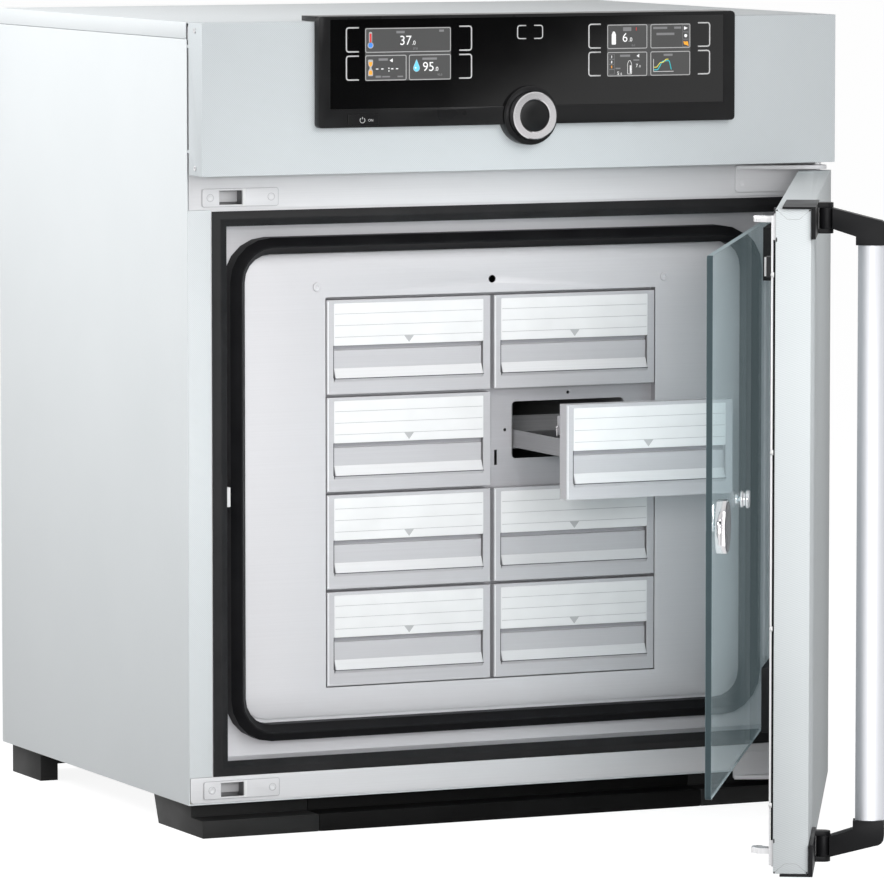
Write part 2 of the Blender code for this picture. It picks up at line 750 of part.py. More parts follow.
def make_outer_door():
    carrier = pivot("outer_door_axis", (*door_axis, 0), None, door_open)
    wide = door_half_width
    skin = piece("door_skin", block(-wide, wide, -door_front, -door_inside, door_bottom, door_top),
                 embossed_steel, carrier)
    cut(skin, block(-wide + door_sheet, wide - door_sheet, -door_front + door_sheet, 0, door_bottom + door_sheet,
                    door_top - door_sheet), "inside")
    for label, low, high in (("top_hole", door_top - 2 * door_sheet, door_top + door_sheet),
                             ("bottom_hole", door_bottom - door_sheet, door_bottom + 2 * door_sheet)):
        cut(skin, prism(circle(*door_axis, hinge_pin + seat_gap, 16), "z", low, high), label)

    edge = wide - door_pan_edge
    low = door_bottom + door_pan_edge
    high = door_top - door_pan_edge
    back = -door_pan_face
    front = back - door_pan_depth
    pan = piece("door_inner_panel", block(-edge, edge, front, back, low, high), satin_steel, carrier)
    inner = wide - door_sheet - seat_gap
    joined(pan, block(-inner, inner, front, front + sheet, door_bottom + door_sheet + seat_gap,
                      door_top - door_sheet - seat_gap), "seat_flange")
    cut(pan, block(-edge + sheet, edge - sheet, front - sheet, back - sheet, low + sheet, high - sheet), "inside")
    joined(pan, block(-door_edge_strip[1], -door_edge_strip[0], back - sheet / 2, -door_inside + door_strip_reach,
                      low + hook_slot_gap, high - hook_slot_gap), "edge_strip")
    for bottom in hook_bottoms:
        cut(pan, block(hook_x - hook_width / 2 - hook_swing[0], hook_x + hook_width / 2 + hook_swing[1],
                       front - sheet, 0, bottom - hook_slot_gap, bottom + hook_thickness + hook_slot_gap),
            f"slot_{bottom:.3f}")
    return carrier


def hook_outline():
    pivot_y = hook_pivot_y
    neck, barb = hook_neck
    left = hook_x - hook_width / 2
    right = hook_x + hook_width / 2
    shoulder = hook_tip_y - hook_shoulder
    return [(left, pivot_y - neck), (left + neck * 2, pivot_y - neck), (left + neck * 2, shoulder),
            (right, shoulder + barb / 6), (right - barb / 2, hook_tip_y - barb / 6), (left + neck, hook_tip_y),
            (left, hook_tip_y - neck)]


def make_hooks(door):
    pin_x = hook_x - hook_width / 2 + hook_neck[0]
    for name, low, hand in (("latch_hook_bottom", hook_bottoms[0], -1), ("latch_hook_top", hook_bottoms[1], 1)):
        carrier = pivot(name + "_axis", (pin_x, hook_pivot_y, low), door)
        hook = piece(name, prism(hook_outline(), "z", low, low + hook_thickness), satin_steel, carrier)
        end = door_top - door_sheet - seat_gap if hand > 0 else door_bottom + door_sheet + seat_gap
        pin = sorted((low + hook_thickness / 2, end))
        joined(hook, prism(circle(pin_x, hook_pivot_y, hook_pin, 12), "z", *pin), "pin")


def make_handle(door):
    carrier = pivot("handle_axis", (handle_x, knuckle_axis_y, seal_centre), door)
    make_handle_end("top", door, carrier, 0, 1)
    make_handle_end("bottom", door, carrier, door_top + door_bottom, -1)
    bar_low = door_top + door_bottom - bar_top
    piece("handle_bar", prism(bar_outline(0), "z", bar_low, bar_top, [bar_outline(bar_wall)]), satin_aluminium,
          carrier, True)


def make_handle_end(end, door, carrier, base, side):
    """A clamp on the door and an arm of the handle; heights are the top end's, side -1 mirrors them."""
    def level(height):
        return base + side * height

    def span(low, high):
        return sorted((level(low), level(high)))

    leg_back = -door_front - seat_gap
    leg_front = leg_back - clamp_sheet
    plate_low = door_top + seat_gap
    plate_high = plate_low + clamp_plate
    leg_low = door_top - clamp_leg
    eye_low, eye_high = eye_levels
    clamp = piece(f"handle_clamp_{end}", block(clamp_left, clamp_right, leg_front, -clamp_back,
                                               *span(plate_low, plate_high)), black_plastic, door)
    joined(clamp, block(clamp_left, clamp_right, leg_front, leg_back, *span(leg_low, plate_high)), "leg")
    lug = half_round(handle_x, knuckle_axis_y, knuckle_radius, leg_front + clamp_sheet / 2)
    joined(clamp, prism(lug, "z", *span(leg_low, eye_low - seat_gap)), "low_lug")
    joined(clamp, prism(lug, "z", *span(eye_high + seat_gap, plate_high - clamp_plate / 2)), "high_lug")
    joined(clamp, prism(circle(handle_x, knuckle_axis_y, knuckle_pin, 12), "z",
                        *span(leg_low + sheet, eye_high + sheet)), "pin")

    socket = bar_top + seat_gap
    far = -bar_near - bar_depth
    near = knuckle_axis_y - knuckle_radius + sheet / 2
    profile = [(near, level(eye_high)), (far + arm_corner, level(arm_top))]
    for step in range(1, 5):
        angle = math.radians(90 * step / 4)
        profile.append((far + arm_corner * (1 - math.sin(angle)),
                        level(arm_top - arm_corner * (1 - math.cos(angle)))))
    profile += [(far, level(socket)), (-bar_near, level(socket)), (-bar_near, level(socket + arm_crook)),
                (near, level(eye_low))]
    arm = piece(f"handle_arm_{end}", prism(profile, "x", handle_x - bar_width / 2, handle_x + bar_width / 2),
                black_plastic, carrier)
    joined(arm, prism(circle(handle_x, knuckle_axis_y, knuckle_radius, 24), "z", *span(eye_low, eye_high)),
           "eye")
    cut(arm, prism(circle(handle_x, knuckle_axis_y, knuckle_pin + seat_gap, 12), "z",
                   *span(eye_low - sheet, eye_high + sheet)), "eye_hole")
    spigot = bar_outline(bar_wall + seat_gap)
    joined(arm, prism(spigot, "z", *span(socket - bar_spigot, socket + sheet)), "spigot")


def half_round(a, b, radius, back):
    """Outline of a lug: a half circle in front of the axis, square behind it."""
    outline = [(a + radius, back), (a - radius, back)]
    for step in range(9):
        angle = math.radians(180 + 180 * step / 8)
        outline.append((a + radius * math.cos(angle), b + radius * math.sin(angle)))
    return outline


def bar_outline(inset):
    """Section of the handle bar: an oval, flattened towards the door."""
    middle = -bar_near - bar_depth / 2
    outline = []
    for step in range(24):
        angle = 2 * math.pi * step / 24
        a = (bar_width / 2 - inset) * math.cos(angle)
        b = (bar_depth / 2 - inset) * math.sin(angle)
        outline.append((handle_x + a, middle + min(b, bar_depth / 2 * bar_flat - inset)))
    return outline


# Glass door
def leaf_outline():
    axis_x, axis_y = glass_axis
    back = pane_front - seat_gap
    front = back - leaf_thickness
    start = 180 - math.degrees(math.asin((back - axis_y) / leaf_knuckle))
    outline = [(axis_x - leaf_length, back)]
    for step in range(13):
        angle = math.radians(start - (start + 110) * step / 12)
        outline.append((axis_x + leaf_knuckle * math.cos(angle), axis_y + leaf_knuckle * math.sin(angle)))
    outline.append((axis_x - leaf_slope[0], axis_y - leaf_root))
    outline.append((axis_x - leaf_slope[1], front))
    outline.append((axis_x - leaf_length, front))
    return outline


def fluted(a, b, radius, flutes, depth):
    outline = []
    for step in range(flutes * 4):
        angle = 2 * math.pi * step / (flutes * 4)
        reach = radius - depth * (0.5 + 0.5 * math.cos(flutes * angle)) ** 2
        outline.append((a + reach * math.cos(angle), b + reach * math.sin(angle)))
    return outline


def make_glass_door():
    carrier = pivot("glass_door_axis", (*glass_axis, 0), None, glass_open)
    pane_back = pane_front + pane_thickness
    holes = [circle(*latch_knob_place, latch_spindle + seat_gap, 16),
             circle(*pull_knob_place, pull_knob_stem + seat_gap, 12)]
    right = glass_axis[0] - pane_edge_gap
    piece("glass_pane", prism(rounded(-pane_left, right, pane_bottom, pane_top, pane_corner), "y", pane_front,
                              pane_back, holes), tinted_glass, carrier)

    for name, span, bore_end, side in (("glass_hinge_leaf_top", upper_leaf, upper_leaf[1], 1),
                                       ("glass_hinge_leaf_bottom", lower_leaf, lower_leaf[0], -1)):
        leaf = piece(name, prism(leaf_outline(), "z", *span), black_plastic, carrier)
        bore = sorted((bore_end + side * sheet, bore_end - side * (leaf_pin_length + sheet)))
        cut(leaf, prism(circle(*glass_axis, leaf_pin + seat_gap, 12), "z", *bore), "bore")

    base = pane_front - seat_gap
    x, z = latch_knob_place
    turn = pivot("latch_knob_axis", (x, pane_front, z), carrier)
    knob = piece("glass_latch_knob", prism(fluted(x, z, latch_knob_radius, latch_flutes, latch_flute_depth), "y",
                                           base - latch_knob_height, base), bright_chrome, turn, True)
    cut(knob, block(x - latch_knob_radius * 1.1, x - latch_knob_radius * 1.1 + latch_slot[1],
                    base - latch_knob_height - sheet, base - latch_knob_height + latch_slot_depth,
                    z - latch_slot[0] / 2, z + latch_slot[0] / 2), "slot")
    joined(knob, prism(circle(x, z, latch_spindle, 16), "y", base - sheet, pane_back + seat_gap + sheet),
           "spindle")
    width, reach = latch_cam
    joined(knob, block(x - width / 2, x + width / 2, pane_back + seat_gap, pane_back + seat_gap +
                       latch_cam_thickness, z - width / 2, z + reach), "cam")

    x, z = pull_knob_place
    radius = pull_knob_radius
    stem = pull_knob_stem
    tip = base - pull_knob_height
    nut = pane_back + seat_gap
    profile = [(0, tip), (radius * 0.8, tip), (radius, tip + radius * 0.2), (radius, base - radius * 0.6),
               (radius * 0.75, base - radius * 0.5), (radius * 0.75, base - radius * 0.3),
               (radius * 0.9, base - radius * 0.2), (radius * 0.9, base), (stem, base), (stem, nut),
               (2 * stem, nut), (2 * stem, nut + stem), (0, nut + stem)]
    piece("glass_pull_knob", turned(profile, "y", (x, z), 24), bright_chrome, carrier, True)

    near, far = striker_depths
    wall = -recess_half_width + seat_gap
    low = latch_knob_place[1] - striker_height / 2
    high = low + striker_height
    step_in, step_down = striker_step
    outline = [(wall, low), (wall + striker_left_gap, low), (wall + striker_left_gap, high - step_down),
               (wall + striker_left_gap - step_in, high - step_down), (wall + striker_left_gap - step_in, high),
               (wall, high)]
    piece("glass_striker", prism(outline, "y", near, far), white_foam)


# Control panel
def make_control_panel():
    back = -header_reach - seat_gap
    frame = piece("cockpit_frame", prism(rounded(-panel_half_width, panel_half_width, panel_bottom, panel_top,
                                                 panel_corner), "y", -panel_front, back), black_plastic)
    joined(frame, block(-panel_half_width, panel_half_width, back - sheet, -panel_lip_back, body_top + seat_gap,
                        panel_top), "top_lip")
    joined(frame, prism(circle(0, knob_level, knob_socket_radius, 40), "y", -knob_socket_front, back), "socket")
    cut(frame, prism(circle(0, knob_level, knob_radius + running_gap, 40), "y", -knob_socket_front - sheet,
                     -knob_socket_floor), "socket_bore")
    pocket = -panel_front + cover_pocket
    cut(frame, block(-cover_half_width - seat_gap, cover_half_width + seat_gap, -panel_front - sheet, pocket,
                     cover_bottom - seat_gap, cover_top + seat_gap), "cover_pocket")
    x, z = power_key_centre
    wide, high = power_key_size
    key_back = -power_key_front + power_key_depth
    cut(frame, block(x - wide / 2 - running_gap, x + wide / 2 + running_gap, -panel_front - sheet,
                     key_back + power_key_travel + seat_gap, z - high / 2 - running_gap,
                     z + high / 2 + running_gap), "key_pocket")
    joined(frame, prism(circle(0, knob_level, knob_socket_radius, 40), "y", -knob_socket_front, back,
                        [circle(0, knob_level, knob_radius + running_gap, 40)]), "socket_wall")

    cover_back = pocket - cover_bond
    cover = piece("cockpit_glass", block(-cover_half_width, cover_half_width, cover_back - cover_thickness,
                                         cover_back, cover_bottom, cover_top), black_glass)
    cut(cover, prism(circle(0, knob_level, knob_socket_radius + seat_gap, 40), "y", -panel_front - sheet, 0),
        "knob_arc")

    turn = pivot("control_knob_axis", (0, -panel_front, knob_level))
    ring_back = -knob_socket_floor - seat_gap
    ring_bore = knob_cap_radius + running_gap
    section = [(ring_bore, -knob_front + knob_edge), (ring_bore + knob_edge, -knob_front),
               (knob_radius - knob_edge, -knob_front), (knob_radius, -knob_front + knob_edge),
               (knob_radius, ring_back), (ring_bore, ring_back)]
    piece("control_knob_ring", turned(section + section[:1], "y", (0, knob_level), 48), bright_chrome, turn, True)
    push = pivot("control_cap_slide", (0, -panel_front, knob_level))
    face = -knob_front + knob_cap_sink
    round_in, round_back = knob_cap_edge
    profile = [(0, face), (knob_cap_radius - round_in, face), (knob_cap_radius, face + round_back),
               (knob_cap_radius, ring_back - knob_travel), (0, ring_back - knob_travel)]
    piece("control_knob_cap", turned(profile, "y", (0, knob_level), 32), black_plastic, push, True)

    key = pivot("power_button_slide", (x, -panel_front, z))
    piece("power_button", block(x - wide / 2, x + wide / 2, -power_key_front, key_back, z - high / 2,
                                z + high / 2), black_plastic, key)


# Feet
def foot_profile():
    top = foot_height - seat_gap
    return [(-foot_front, 0), (foot_back, 0), (foot_back + foot_draft, top), (foot_step_back, top),
            (foot_step_back, foot_step), (-foot_front, foot_step)]


def make_feet():
    piece("foot_front_left", prism(foot_profile(), "x", -foot_side, -foot_joint - seat_gap), black_plastic)
    piece("foot_front_right", prism(foot_profile(), "x", foot_joint + seat_gap, foot_side), black_plastic)
    piece("front_rail", prism(foot_profile(), "x", -foot_joint, foot_joint), black_plastic)
    top = foot_height - seat_gap
    outer = foot_side
    inner = foot_side - rear_foot_width
    outline = [(-outer, 0), (-inner, 0), (-inner, rear_rail_bottom), (inner, rear_rail_bottom), (inner, 0),
               (outer, 0), (outer, top), (-outer, top)]
    piece("rear_foot_rail", prism(outline, "y", rear_foot_front, rear_foot_back), black_plastic)


# Fan and rear inlet
def make_fan():
    wall = chamber_back
    turn = pivot("fan_axis", (0, wall, fan_level))
    wheel_back = wall - fan_wall_gap
    wheel_front = wheel_back - fan_width
    motor_front = wall + thin_sheet + seat_gap
    wheel = piece("fan_wheel", prism(circle(0, fan_level, fan_radius, 28), "y", wheel_back - thin_sheet,
                                     wheel_back), black_plastic, turn)
    joined(wheel, prism(circle(0, fan_level, fan_hub, 16), "y", wheel_front, wheel_back - thin_sheet / 2), "hub")
    for blade in range(fan_blades):
        angle = 2 * math.pi * blade / fan_blades
        vane = block(fan_hub - fan_blade_root, fan_radius - fan_blade_root, wheel_front, wheel_back - thin_sheet / 2,
                     -thin_sheet / 2, thin_sheet / 2)
        bmesh.ops.rotate(vane, verts=vane.verts[:], cent=(0, 0, 0), matrix=Matrix.Rotation(angle, 3, "Y"))
        bmesh.ops.translate(vane, verts=vane.verts[:], vec=(0, 0, fan_level))
        joined(wheel, vane, f"blade_{blade}")
    joined(wheel, prism(circle(0, fan_level, fan_shaft, 16), "y", wheel_back - thin_sheet,
                        motor_front + fan_shaft_seat), "shaft")
    motor = piece("fan_motor", prism(circle(0, fan_level, motor_radius, 32), "y", motor_front,
                                     motor_front + motor_length), satin_steel, None, True)
    cut(motor, prism(circle(0, fan_level, fan_shaft + seat_gap, 16), "y", motor_front - sheet,
                     motor_front + fan_shaft_seat + sheet), "bore")


def make_inlet():
    x, z = inlet_centre
    wide, high = inlet_body
    back = body_depth
    inlet = piece("power_inlet", block(x - wide / 2, x + wide / 2, back - inlet_depth, back + sheet / 2,
                                       z - high / 2, z + high / 2), black_plastic)
    joined(inlet, block(x - inlet_flange[0] / 2, x + inlet_flange[0] / 2, back, back + sheet,
                        z - inlet_flange[1] / 2, z + inlet_flange[1] / 2), "flange")
    cut(inlet, block(x - wide / 2 + inlet_wall, x + wide / 2 - inlet_wall, back - inlet_depth + inlet_wall,
                     back + 2 * sheet, z - high / 2 + inlet_wall, z + high / 2 - inlet_wall), "socket")


make_housing()
make_header()
make_face_frame()
make_gaskets()
make_chamber()
make_bank_frame()
make_rack()
make_drawers()
make_hinge_brackets()
make_latch_plates()
outer_door = make_outer_door()
make_hooks(outer_door)
make_handle(outer_door)
make_glass_door()
make_control_panel()
make_feet()
make_fan()
make_inlet()
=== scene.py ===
import bpy
import json
import math
from mathutils import Matrix, Vector


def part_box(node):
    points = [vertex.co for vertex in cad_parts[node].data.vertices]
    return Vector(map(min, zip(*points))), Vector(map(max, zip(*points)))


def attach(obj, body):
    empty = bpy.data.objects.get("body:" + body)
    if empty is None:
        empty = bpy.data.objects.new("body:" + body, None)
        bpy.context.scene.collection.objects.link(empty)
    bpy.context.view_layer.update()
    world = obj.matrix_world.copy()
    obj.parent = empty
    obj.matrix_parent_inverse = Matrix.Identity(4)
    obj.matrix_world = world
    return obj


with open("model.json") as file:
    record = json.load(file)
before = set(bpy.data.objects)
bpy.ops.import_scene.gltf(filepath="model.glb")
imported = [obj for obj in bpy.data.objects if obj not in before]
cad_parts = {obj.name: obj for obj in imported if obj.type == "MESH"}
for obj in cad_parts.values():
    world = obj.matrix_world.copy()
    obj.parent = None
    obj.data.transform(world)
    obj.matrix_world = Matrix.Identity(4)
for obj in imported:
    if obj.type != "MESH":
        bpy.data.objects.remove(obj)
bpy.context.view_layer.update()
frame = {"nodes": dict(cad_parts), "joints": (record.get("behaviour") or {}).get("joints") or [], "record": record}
nodes = frame["nodes"]
print("frame loaded:", len(nodes), "nodes")

mm = 0.001
sameSpot = 0.002 * mm  # corners nearer than this become one


def inMetres(value):
    # settings are written in mm
    if isinstance(value, dict):
        return {name: inMetres(part) for name, part in value.items()}
    if isinstance(value, tuple):
        return tuple(inMetres(part) for part in value)
    return value * mm


joints = {joint["name"]: joint for joint in frame["joints"]}
ratios = {link["joint"]: link["ratio"] for link in frame["record"]["behaviour"]["couplings"]}


# how far the doors, which stand open in the photo, have turned from their shut places
def turnedAbout(place, degrees):
    middle = Vector(place)
    turn = Matrix.Rotation(math.radians(degrees), 4, "Z")
    return Matrix.Translation(middle) @ turn @ Matrix.Translation(-middle)


outerTurn = -joints["outer_door_hinge"]["range_deg"][0]
glassTurn = outerTurn * ratios["glass_door_hinge"]
doorOpen = turnedAbout(joints["outer_door_hinge"]["pos_m"], outerTurn)
glassOpen = turnedAbout(joints["glass_door_hinge"]["pos_m"], glassTurn)


# small helpers
def deselectAll():
    if bpy.context.object and bpy.context.object.mode != "OBJECT":
        bpy.ops.object.mode_set(mode="OBJECT")
    bpy.ops.object.select_all(action="DESELECT")


def pick(piece):
    deselectAll()
    piece.select_set(True)
    bpy.context.view_layer.objects.active = piece


def linkNew(name, data):
    made = bpy.data.objects.new(name, data)
    bpy.context.scene.collection.objects.link(made)
    return made


def applyPlace(piece):
    pick(piece)
    bpy.ops.object.transform_apply(location=True, rotation=True, scale=True)


def applyModifiers(piece):
    pick(piece)
    for step in list(piece.modifiers):
        bpy.ops.object.modifier_apply(modifier=step.name)


def closeShell(piece):
    # merge doubles, then point every face outwards
    pick(piece)
    bpy.ops.object.mode_set(mode="EDIT")
    bpy.ops.mesh.select_all(action="SELECT")
    bpy.ops.mesh.remove_doubles(threshold=sameSpot)
    bpy.ops.mesh.normals_make_consistent(inside=False)
    bpy.ops.object.mode_set(mode="OBJECT")


def settle(piece, name, material, body, pose=None, smooth=35):
    # name it, give it its finish, turn it with its door and hang it on its body
    applyPlace(piece)
    applyModifiers(piece)
    closeShell(piece)
    if pose is not None:
        piece.data.transform(pose)
    piece.name = name
    piece.data.name = name
    piece.data.materials.clear()
    piece.data.materials.append(material)
    if smooth:
        pick(piece)
        bpy.ops.object.shade_smooth_by_angle(angle=math.radians(smooth))
    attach(piece, body)
    deselectAll()


def roundEdges(piece, width, segments=2, limit=30):
    step = piece.modifiers.new("roundEdges", "BEVEL")
    step.width = width
    step.segments = segments
    step.limit_method = "ANGLE"
    step.angle_limit = math.radians(limit)


def addSlab(left, right, front, back, low, high, bevel=0.0):
    deselectAll()
    middle = ((left + right) / 2, (front + back) / 2, (low + high) / 2)
    bpy.ops.mesh.primitive_cube_add(size=1, location=middle)
    slab = bpy.context.object
    slab.scale = (right - left, back - front, high - low)
    applyPlace(slab)
    if bevel:
        roundEdges(slab, bevel)
        applyModifiers(slab)
    return slab


def addDisc(radius, height, sides):
    # a round slab that stands on the level of zero
    deselectAll()
    bpy.ops.mesh.primitive_cylinder_add(vertices=sides, radius=radius, depth=height,
                                        location=(0, 0, height / 2))
    disc = bpy.context.object
    applyPlace(disc)
    return disc


def pickFaces(piece, test):
    # in edit mode afterwards, with the faces that pass the test selected
    pick(piece)
    bpy.ops.object.mode_set(mode="EDIT")
    bpy.ops.mesh.select_mode(type="FACE")
    bpy.ops.mesh.select_all(action="DESELECT")
    bpy.ops.object.mode_set(mode="OBJECT")
    for face in piece.data.polygons:
        face.select = test(face)
    bpy.ops.object.mode_set(mode="EDIT")


def insetAndSink(piece, test, margin, depth):
    # a rim round the picked faces, and the middle pushed in along their normals
    pickFaces(piece, test)
    bpy.ops.mesh.inset(thickness=margin)
    bpy.ops.mesh.extrude_region_shrink_fatten(TRANSFORM_OT_shrink_fatten={"value": -depth})
    bpy.ops.object.mode_set(mode="OBJECT")


def facesUp(face):
    return face.normal.z > 0.9


def joinPieces(pieces):
    deselectAll()
    for piece in pieces:
        piece.select_set(True)
    bpy.context.view_layer.objects.active = pieces[0]
    bpy.ops.object.join()
    return bpy.context.object


def copiesOf(pattern, places, facing):
    # one joined piece of copies, each with its top turned to face a direction
    turn = Vector((0, 0, 1)).rotation_difference(Vector(facing)).to_matrix().to_4x4()
    copies = []
    for place in places:
        copies.append(linkNew(pattern.name, pattern.data.copy()))
        copies[-1].data.transform(Matrix.Translation(place) @ turn)
    bpy.data.objects.remove(pattern, do_unlink=True)
    return joinPieces(copies)


# flat marks are drawn in the plane of the front, as (x, z) points
def roundedPath(points, radius, closed):
    steps, halfSide = 5, 0.49
    path = []
    for i, point in enumerate(points):
        if not closed and i in (0, len(points) - 1):
            path.append(point)
            continue
        here = Vector(point)
        before = Vector(points[i - 1]) - here
        after = Vector(points[(i + 1) % len(points)]) - here
        reach = min(radius, before.length * halfSide, after.length * halfSide)
        start = here + before.normalized() * reach
        end = here + after.normalized() * reach
        for step in range(steps + 1):
            t = step / steps
            path.append(tuple(start * (1 - t) ** 2 + here * 2 * t * (1 - t) + end * t * t))
    return path


def curvePiece(points, closed, flat):
    curve = bpy.data.curves.new("mark", "CURVE")
    curve.dimensions = "2D" if flat else "3D"
    spline = curve.splines.new("POLY")
    spline.points.add(len(points) - 1)
    for knot, (x, z) in zip(spline.points, points):
        knot.co = (x, z, 0, 1) if flat else (x, 0, z, 1)
    spline.use_cyclic_u = closed
    return linkNew("mark", curve)


def makeMesh(piece, move):
    pick(piece)
    bpy.ops.object.convert(target="MESH")
    bpy.context.object.data.transform(move)
    return bpy.context.object


def upright(x, y, z):
    # stands a mark that was made lying down
    return Matrix.Translation((x, y, z)) @ Matrix.Rotation(math.pi / 2, 4, "X")


def drawLine(points, width, level, radius=0.0, closed=False, proud=0.1 * mm):
    path = roundedPath(points, radius, closed) if radius else points
    piece = curvePiece(path, closed, False)
    piece.data.bevel_depth = width / 2
    piece.data.bevel_resolution = 1
    piece.data.use_fill_caps = True
    return makeMesh(piece, Matrix.Translation((0, level, 0)) @ Matrix.Diagonal((1, 2 * proud / width, 1, 1)))


def drawPatch(points, level, proud=0.1 * mm, radius=0.0):
    path = roundedPath(points, radius, True) if radius else points
    piece = curvePiece(path, True, True)
    piece.data.fill_mode = "BOTH"
    piece.data.extrude = proud / 2
    return makeMesh(piece, upright(0, level - proud / 2, 0))


def drawText(words, x, z, height, level, proud=0.1 * mm):
    digitShare = 0.71  # height of a digit in the built-in font's size
    deselectAll()
    bpy.ops.object.text_add(location=(0, 0, 0))
    piece = bpy.context.object
    piece.data.body = words
    piece.data.size = height / digitShare
    piece.data.extrude = proud / 2
    return makeMesh(piece, upright(x, level - proud / 2, z))


def roundPoints(x, z, wide, high=None, count=20):
    turns = [2 * math.pi * i / count for i in range(count)]
    return [(x + wide * math.cos(turn), z + (high or wide) * math.sin(turn)) for turn in turns]


def boxPoints(left, right, low, high):
    return [(left, low), (right, low), (right, high), (left, high)]


def bothEnds(*stems):
    return [f"{stem}_{end}" for stem in stems for end in ("top", "bottom")]


# shader groups
def addNode(tree, kind, values, operation=None, group=None):
    # constants sit on the sockets themselves, and outputs of other nodes are linked to them
    made = tree.nodes.new("ShaderNode" + kind)
    if operation:
        made.operation = operation
    if group:
        made.node_tree = group
    for label, value in values.items():
        if isinstance(value, bpy.types.NodeSocket):
            tree.links.new(value, made.inputs[label])
        else:
            made.inputs[label].default_value = value
    return made.outputs


def newGroup(name, inputs, outputs):
    group = bpy.data.node_groups.new(name, "ShaderNodeTree")
    for label, value in inputs.items():
        socket = group.interface.new_socket(label, in_out="INPUT", socket_type="NodeSocketFloat")
        socket.default_value = value
    for label in outputs:
        group.interface.new_socket(label, in_out="OUTPUT", socket_type="NodeSocketFloat")
    given = group.nodes.new("NodeGroupInput").outputs
    out = group.nodes.new("NodeGroupOutput").inputs
    return group, given, out, addNode(group, "TexCoord", {})["Object"]


def mathNode(tree, operation, *values):
    return addNode(tree, "Math", dict(enumerate(values)), operation)[0]


def noiseIn(tree, vector, scale, detail):
    return addNode(tree, "TexNoise", {"Vector": vector, "Scale": scale, "Detail": detail})["Fac"]


def makeLinenGroup():
    # fine slanting rows of raised points, with a soft cloudiness over them
    fallingShare, risingShare = 0.62, 0.38
    weaveShare, cloudShare, cloudBase = 0.6, 0.4, 0.3
    inputs = {"Pitch": 2.2 * mm, "Clouds": 7.0, "Weave": 0.5}
    group, given, out, place = newGroup("linenEmboss", inputs, ["Height", "Shade"])
    x, y, z = addNode(group, "SeparateXYZ", {0: place})
    flat = mathNode(group, "ADD", x, y)
    waves = []
    for way, share in (("ADD", fallingShare), ("SUBTRACT", risingShare)):
        line = mathNode(group, "MULTIPLY", mathNode(group, way, flat, z), 2 * math.pi)
        wave = mathNode(group, "SINE", mathNode(group, "DIVIDE", line, given["Pitch"]))
        waves.append(mathNode(group, "MULTIPLY", wave, share))
    height = mathNode(group, "ADD", *waves)
    cloud = noiseIn(group, place, given["Clouds"], 3)
    woven = mathNode(group, "MULTIPLY", height, given["Weave"])
    soft = mathNode(group, "ADD", mathNode(group, "MULTIPLY", cloud, cloudShare), cloudBase)
    shade = mathNode(group, "ADD", mathNode(group, "MULTIPLY", woven, weaveShare), soft)
    group.links.new(height, out["Height"])
    group.links.new(shade, out["Shade"])
    return group


def makeBrushGroup():
    # grain of brushed metal: noise drawn out along one direction of the piece
    cloudSize = 14.0
    inputs = {"AlongX": 6.0, "AlongY": 6.0, "AlongZ": 700.0}
    group, given, out, place = newGroup("brushGrain", inputs, ["Grain", "Cloud"])
    axes = addNode(group, "SeparateXYZ", {0: place})
    drawn = [mathNode(group, "MULTIPLY", axis, given[name]) for axis, name in zip(axes, inputs)]
    merged = addNode(group, "CombineXYZ", dict(enumerate(drawn)))[0]
    group.links.new(noiseIn(group, merged, 1.0, 4), out["Grain"])
    group.links.new(noiseIn(group, place, cloudSize, 2), out["Cloud"])
    return group


def makeSkinGroup():
    # pebbled skin of moulded plastic and rubber
    cloudSize = 25.0
    group, given, out, place = newGroup("mouldedSkin", {"Size": 900.0}, ["Height", "Cloud"])
    group.links.new(noiseIn(group, place, given["Size"], 2), out["Height"])
    group.links.new(noiseIn(group, place, cloudSize, 2), out["Cloud"])
    return group


def makeWearAndSheenGroup():
    # how far a spot lies on an edge, 0 on the flat and 1 on a corner, where the colour goes lighter: partly rubbed
    # wear, partly painted highlight of edges catching light
    sharpness, patchSize = 5.0, 60.0
    group, given, out, place = newGroup("edgeWear", {"Reach": 0.8 * mm, "Amount": 1.0}, ["Mask"])
    flat = addNode(group, "NewGeometry", {})["Normal"]
    rounded = addNode(group, "Bevel", {"Radius": given["Reach"]})[0]
    rounded.node.samples = 3
    meet = addNode(group, "VectorMath", {0: flat, 1: rounded}, "DOT_PRODUCT")["Value"]
    bent = mathNode(group, "SUBTRACT", 1.0, meet)
    edge = mathNode(group, "MULTIPLY", bent, sharpness)
    patchy = mathNode(group, "MULTIPLY", edge, noiseIn(group, place, patchSize, 3))
    clipped = mathNode(group, "MINIMUM", mathNode(group, "MAXIMUM", patchy, 0.0), 1.0)
    group.links.new(mathNode(group, "MULTIPLY", clipped, given["Amount"]), out["Mask"])
    return group


linenGroup = makeLinenGroup()
brushGroup = makeBrushGroup()
skinGroup = makeSkinGroup()
wearAndSheenGroup = makeWearAndSheenGroup()


# materials
def newMaterial(name, colour, roughness, metallic, specular=0.5):
    made = bpy.data.materials.new(name)
    made.use_nodes = True
    shader = made.node_tree.nodes["Principled BSDF"]
    shader.inputs["Base Color"].default_value = (*colour, 1)
    shader.inputs["Roughness"].default_value = roughness
    shader.inputs["Metallic"].default_value = metallic
    shader.inputs["Specular IOR Level"].default_value = specular
    return made, shader


def placeGroup(material, group, values):
    return addNode(material.node_tree, "Group", values, group=group)


def roughBy(material, shader, source, low, high):
    # most of a noise lies between 0.3 and 0.7, and that span is drawn out to low and high
    values = {"Value": source, "From Min": 0.3, "From Max": 0.7, "To Min": low, "To Max": high}
    span = addNode(material.node_tree, "MapRange", values)[0]
    material.node_tree.links.new(span, shader.inputs["Roughness"])


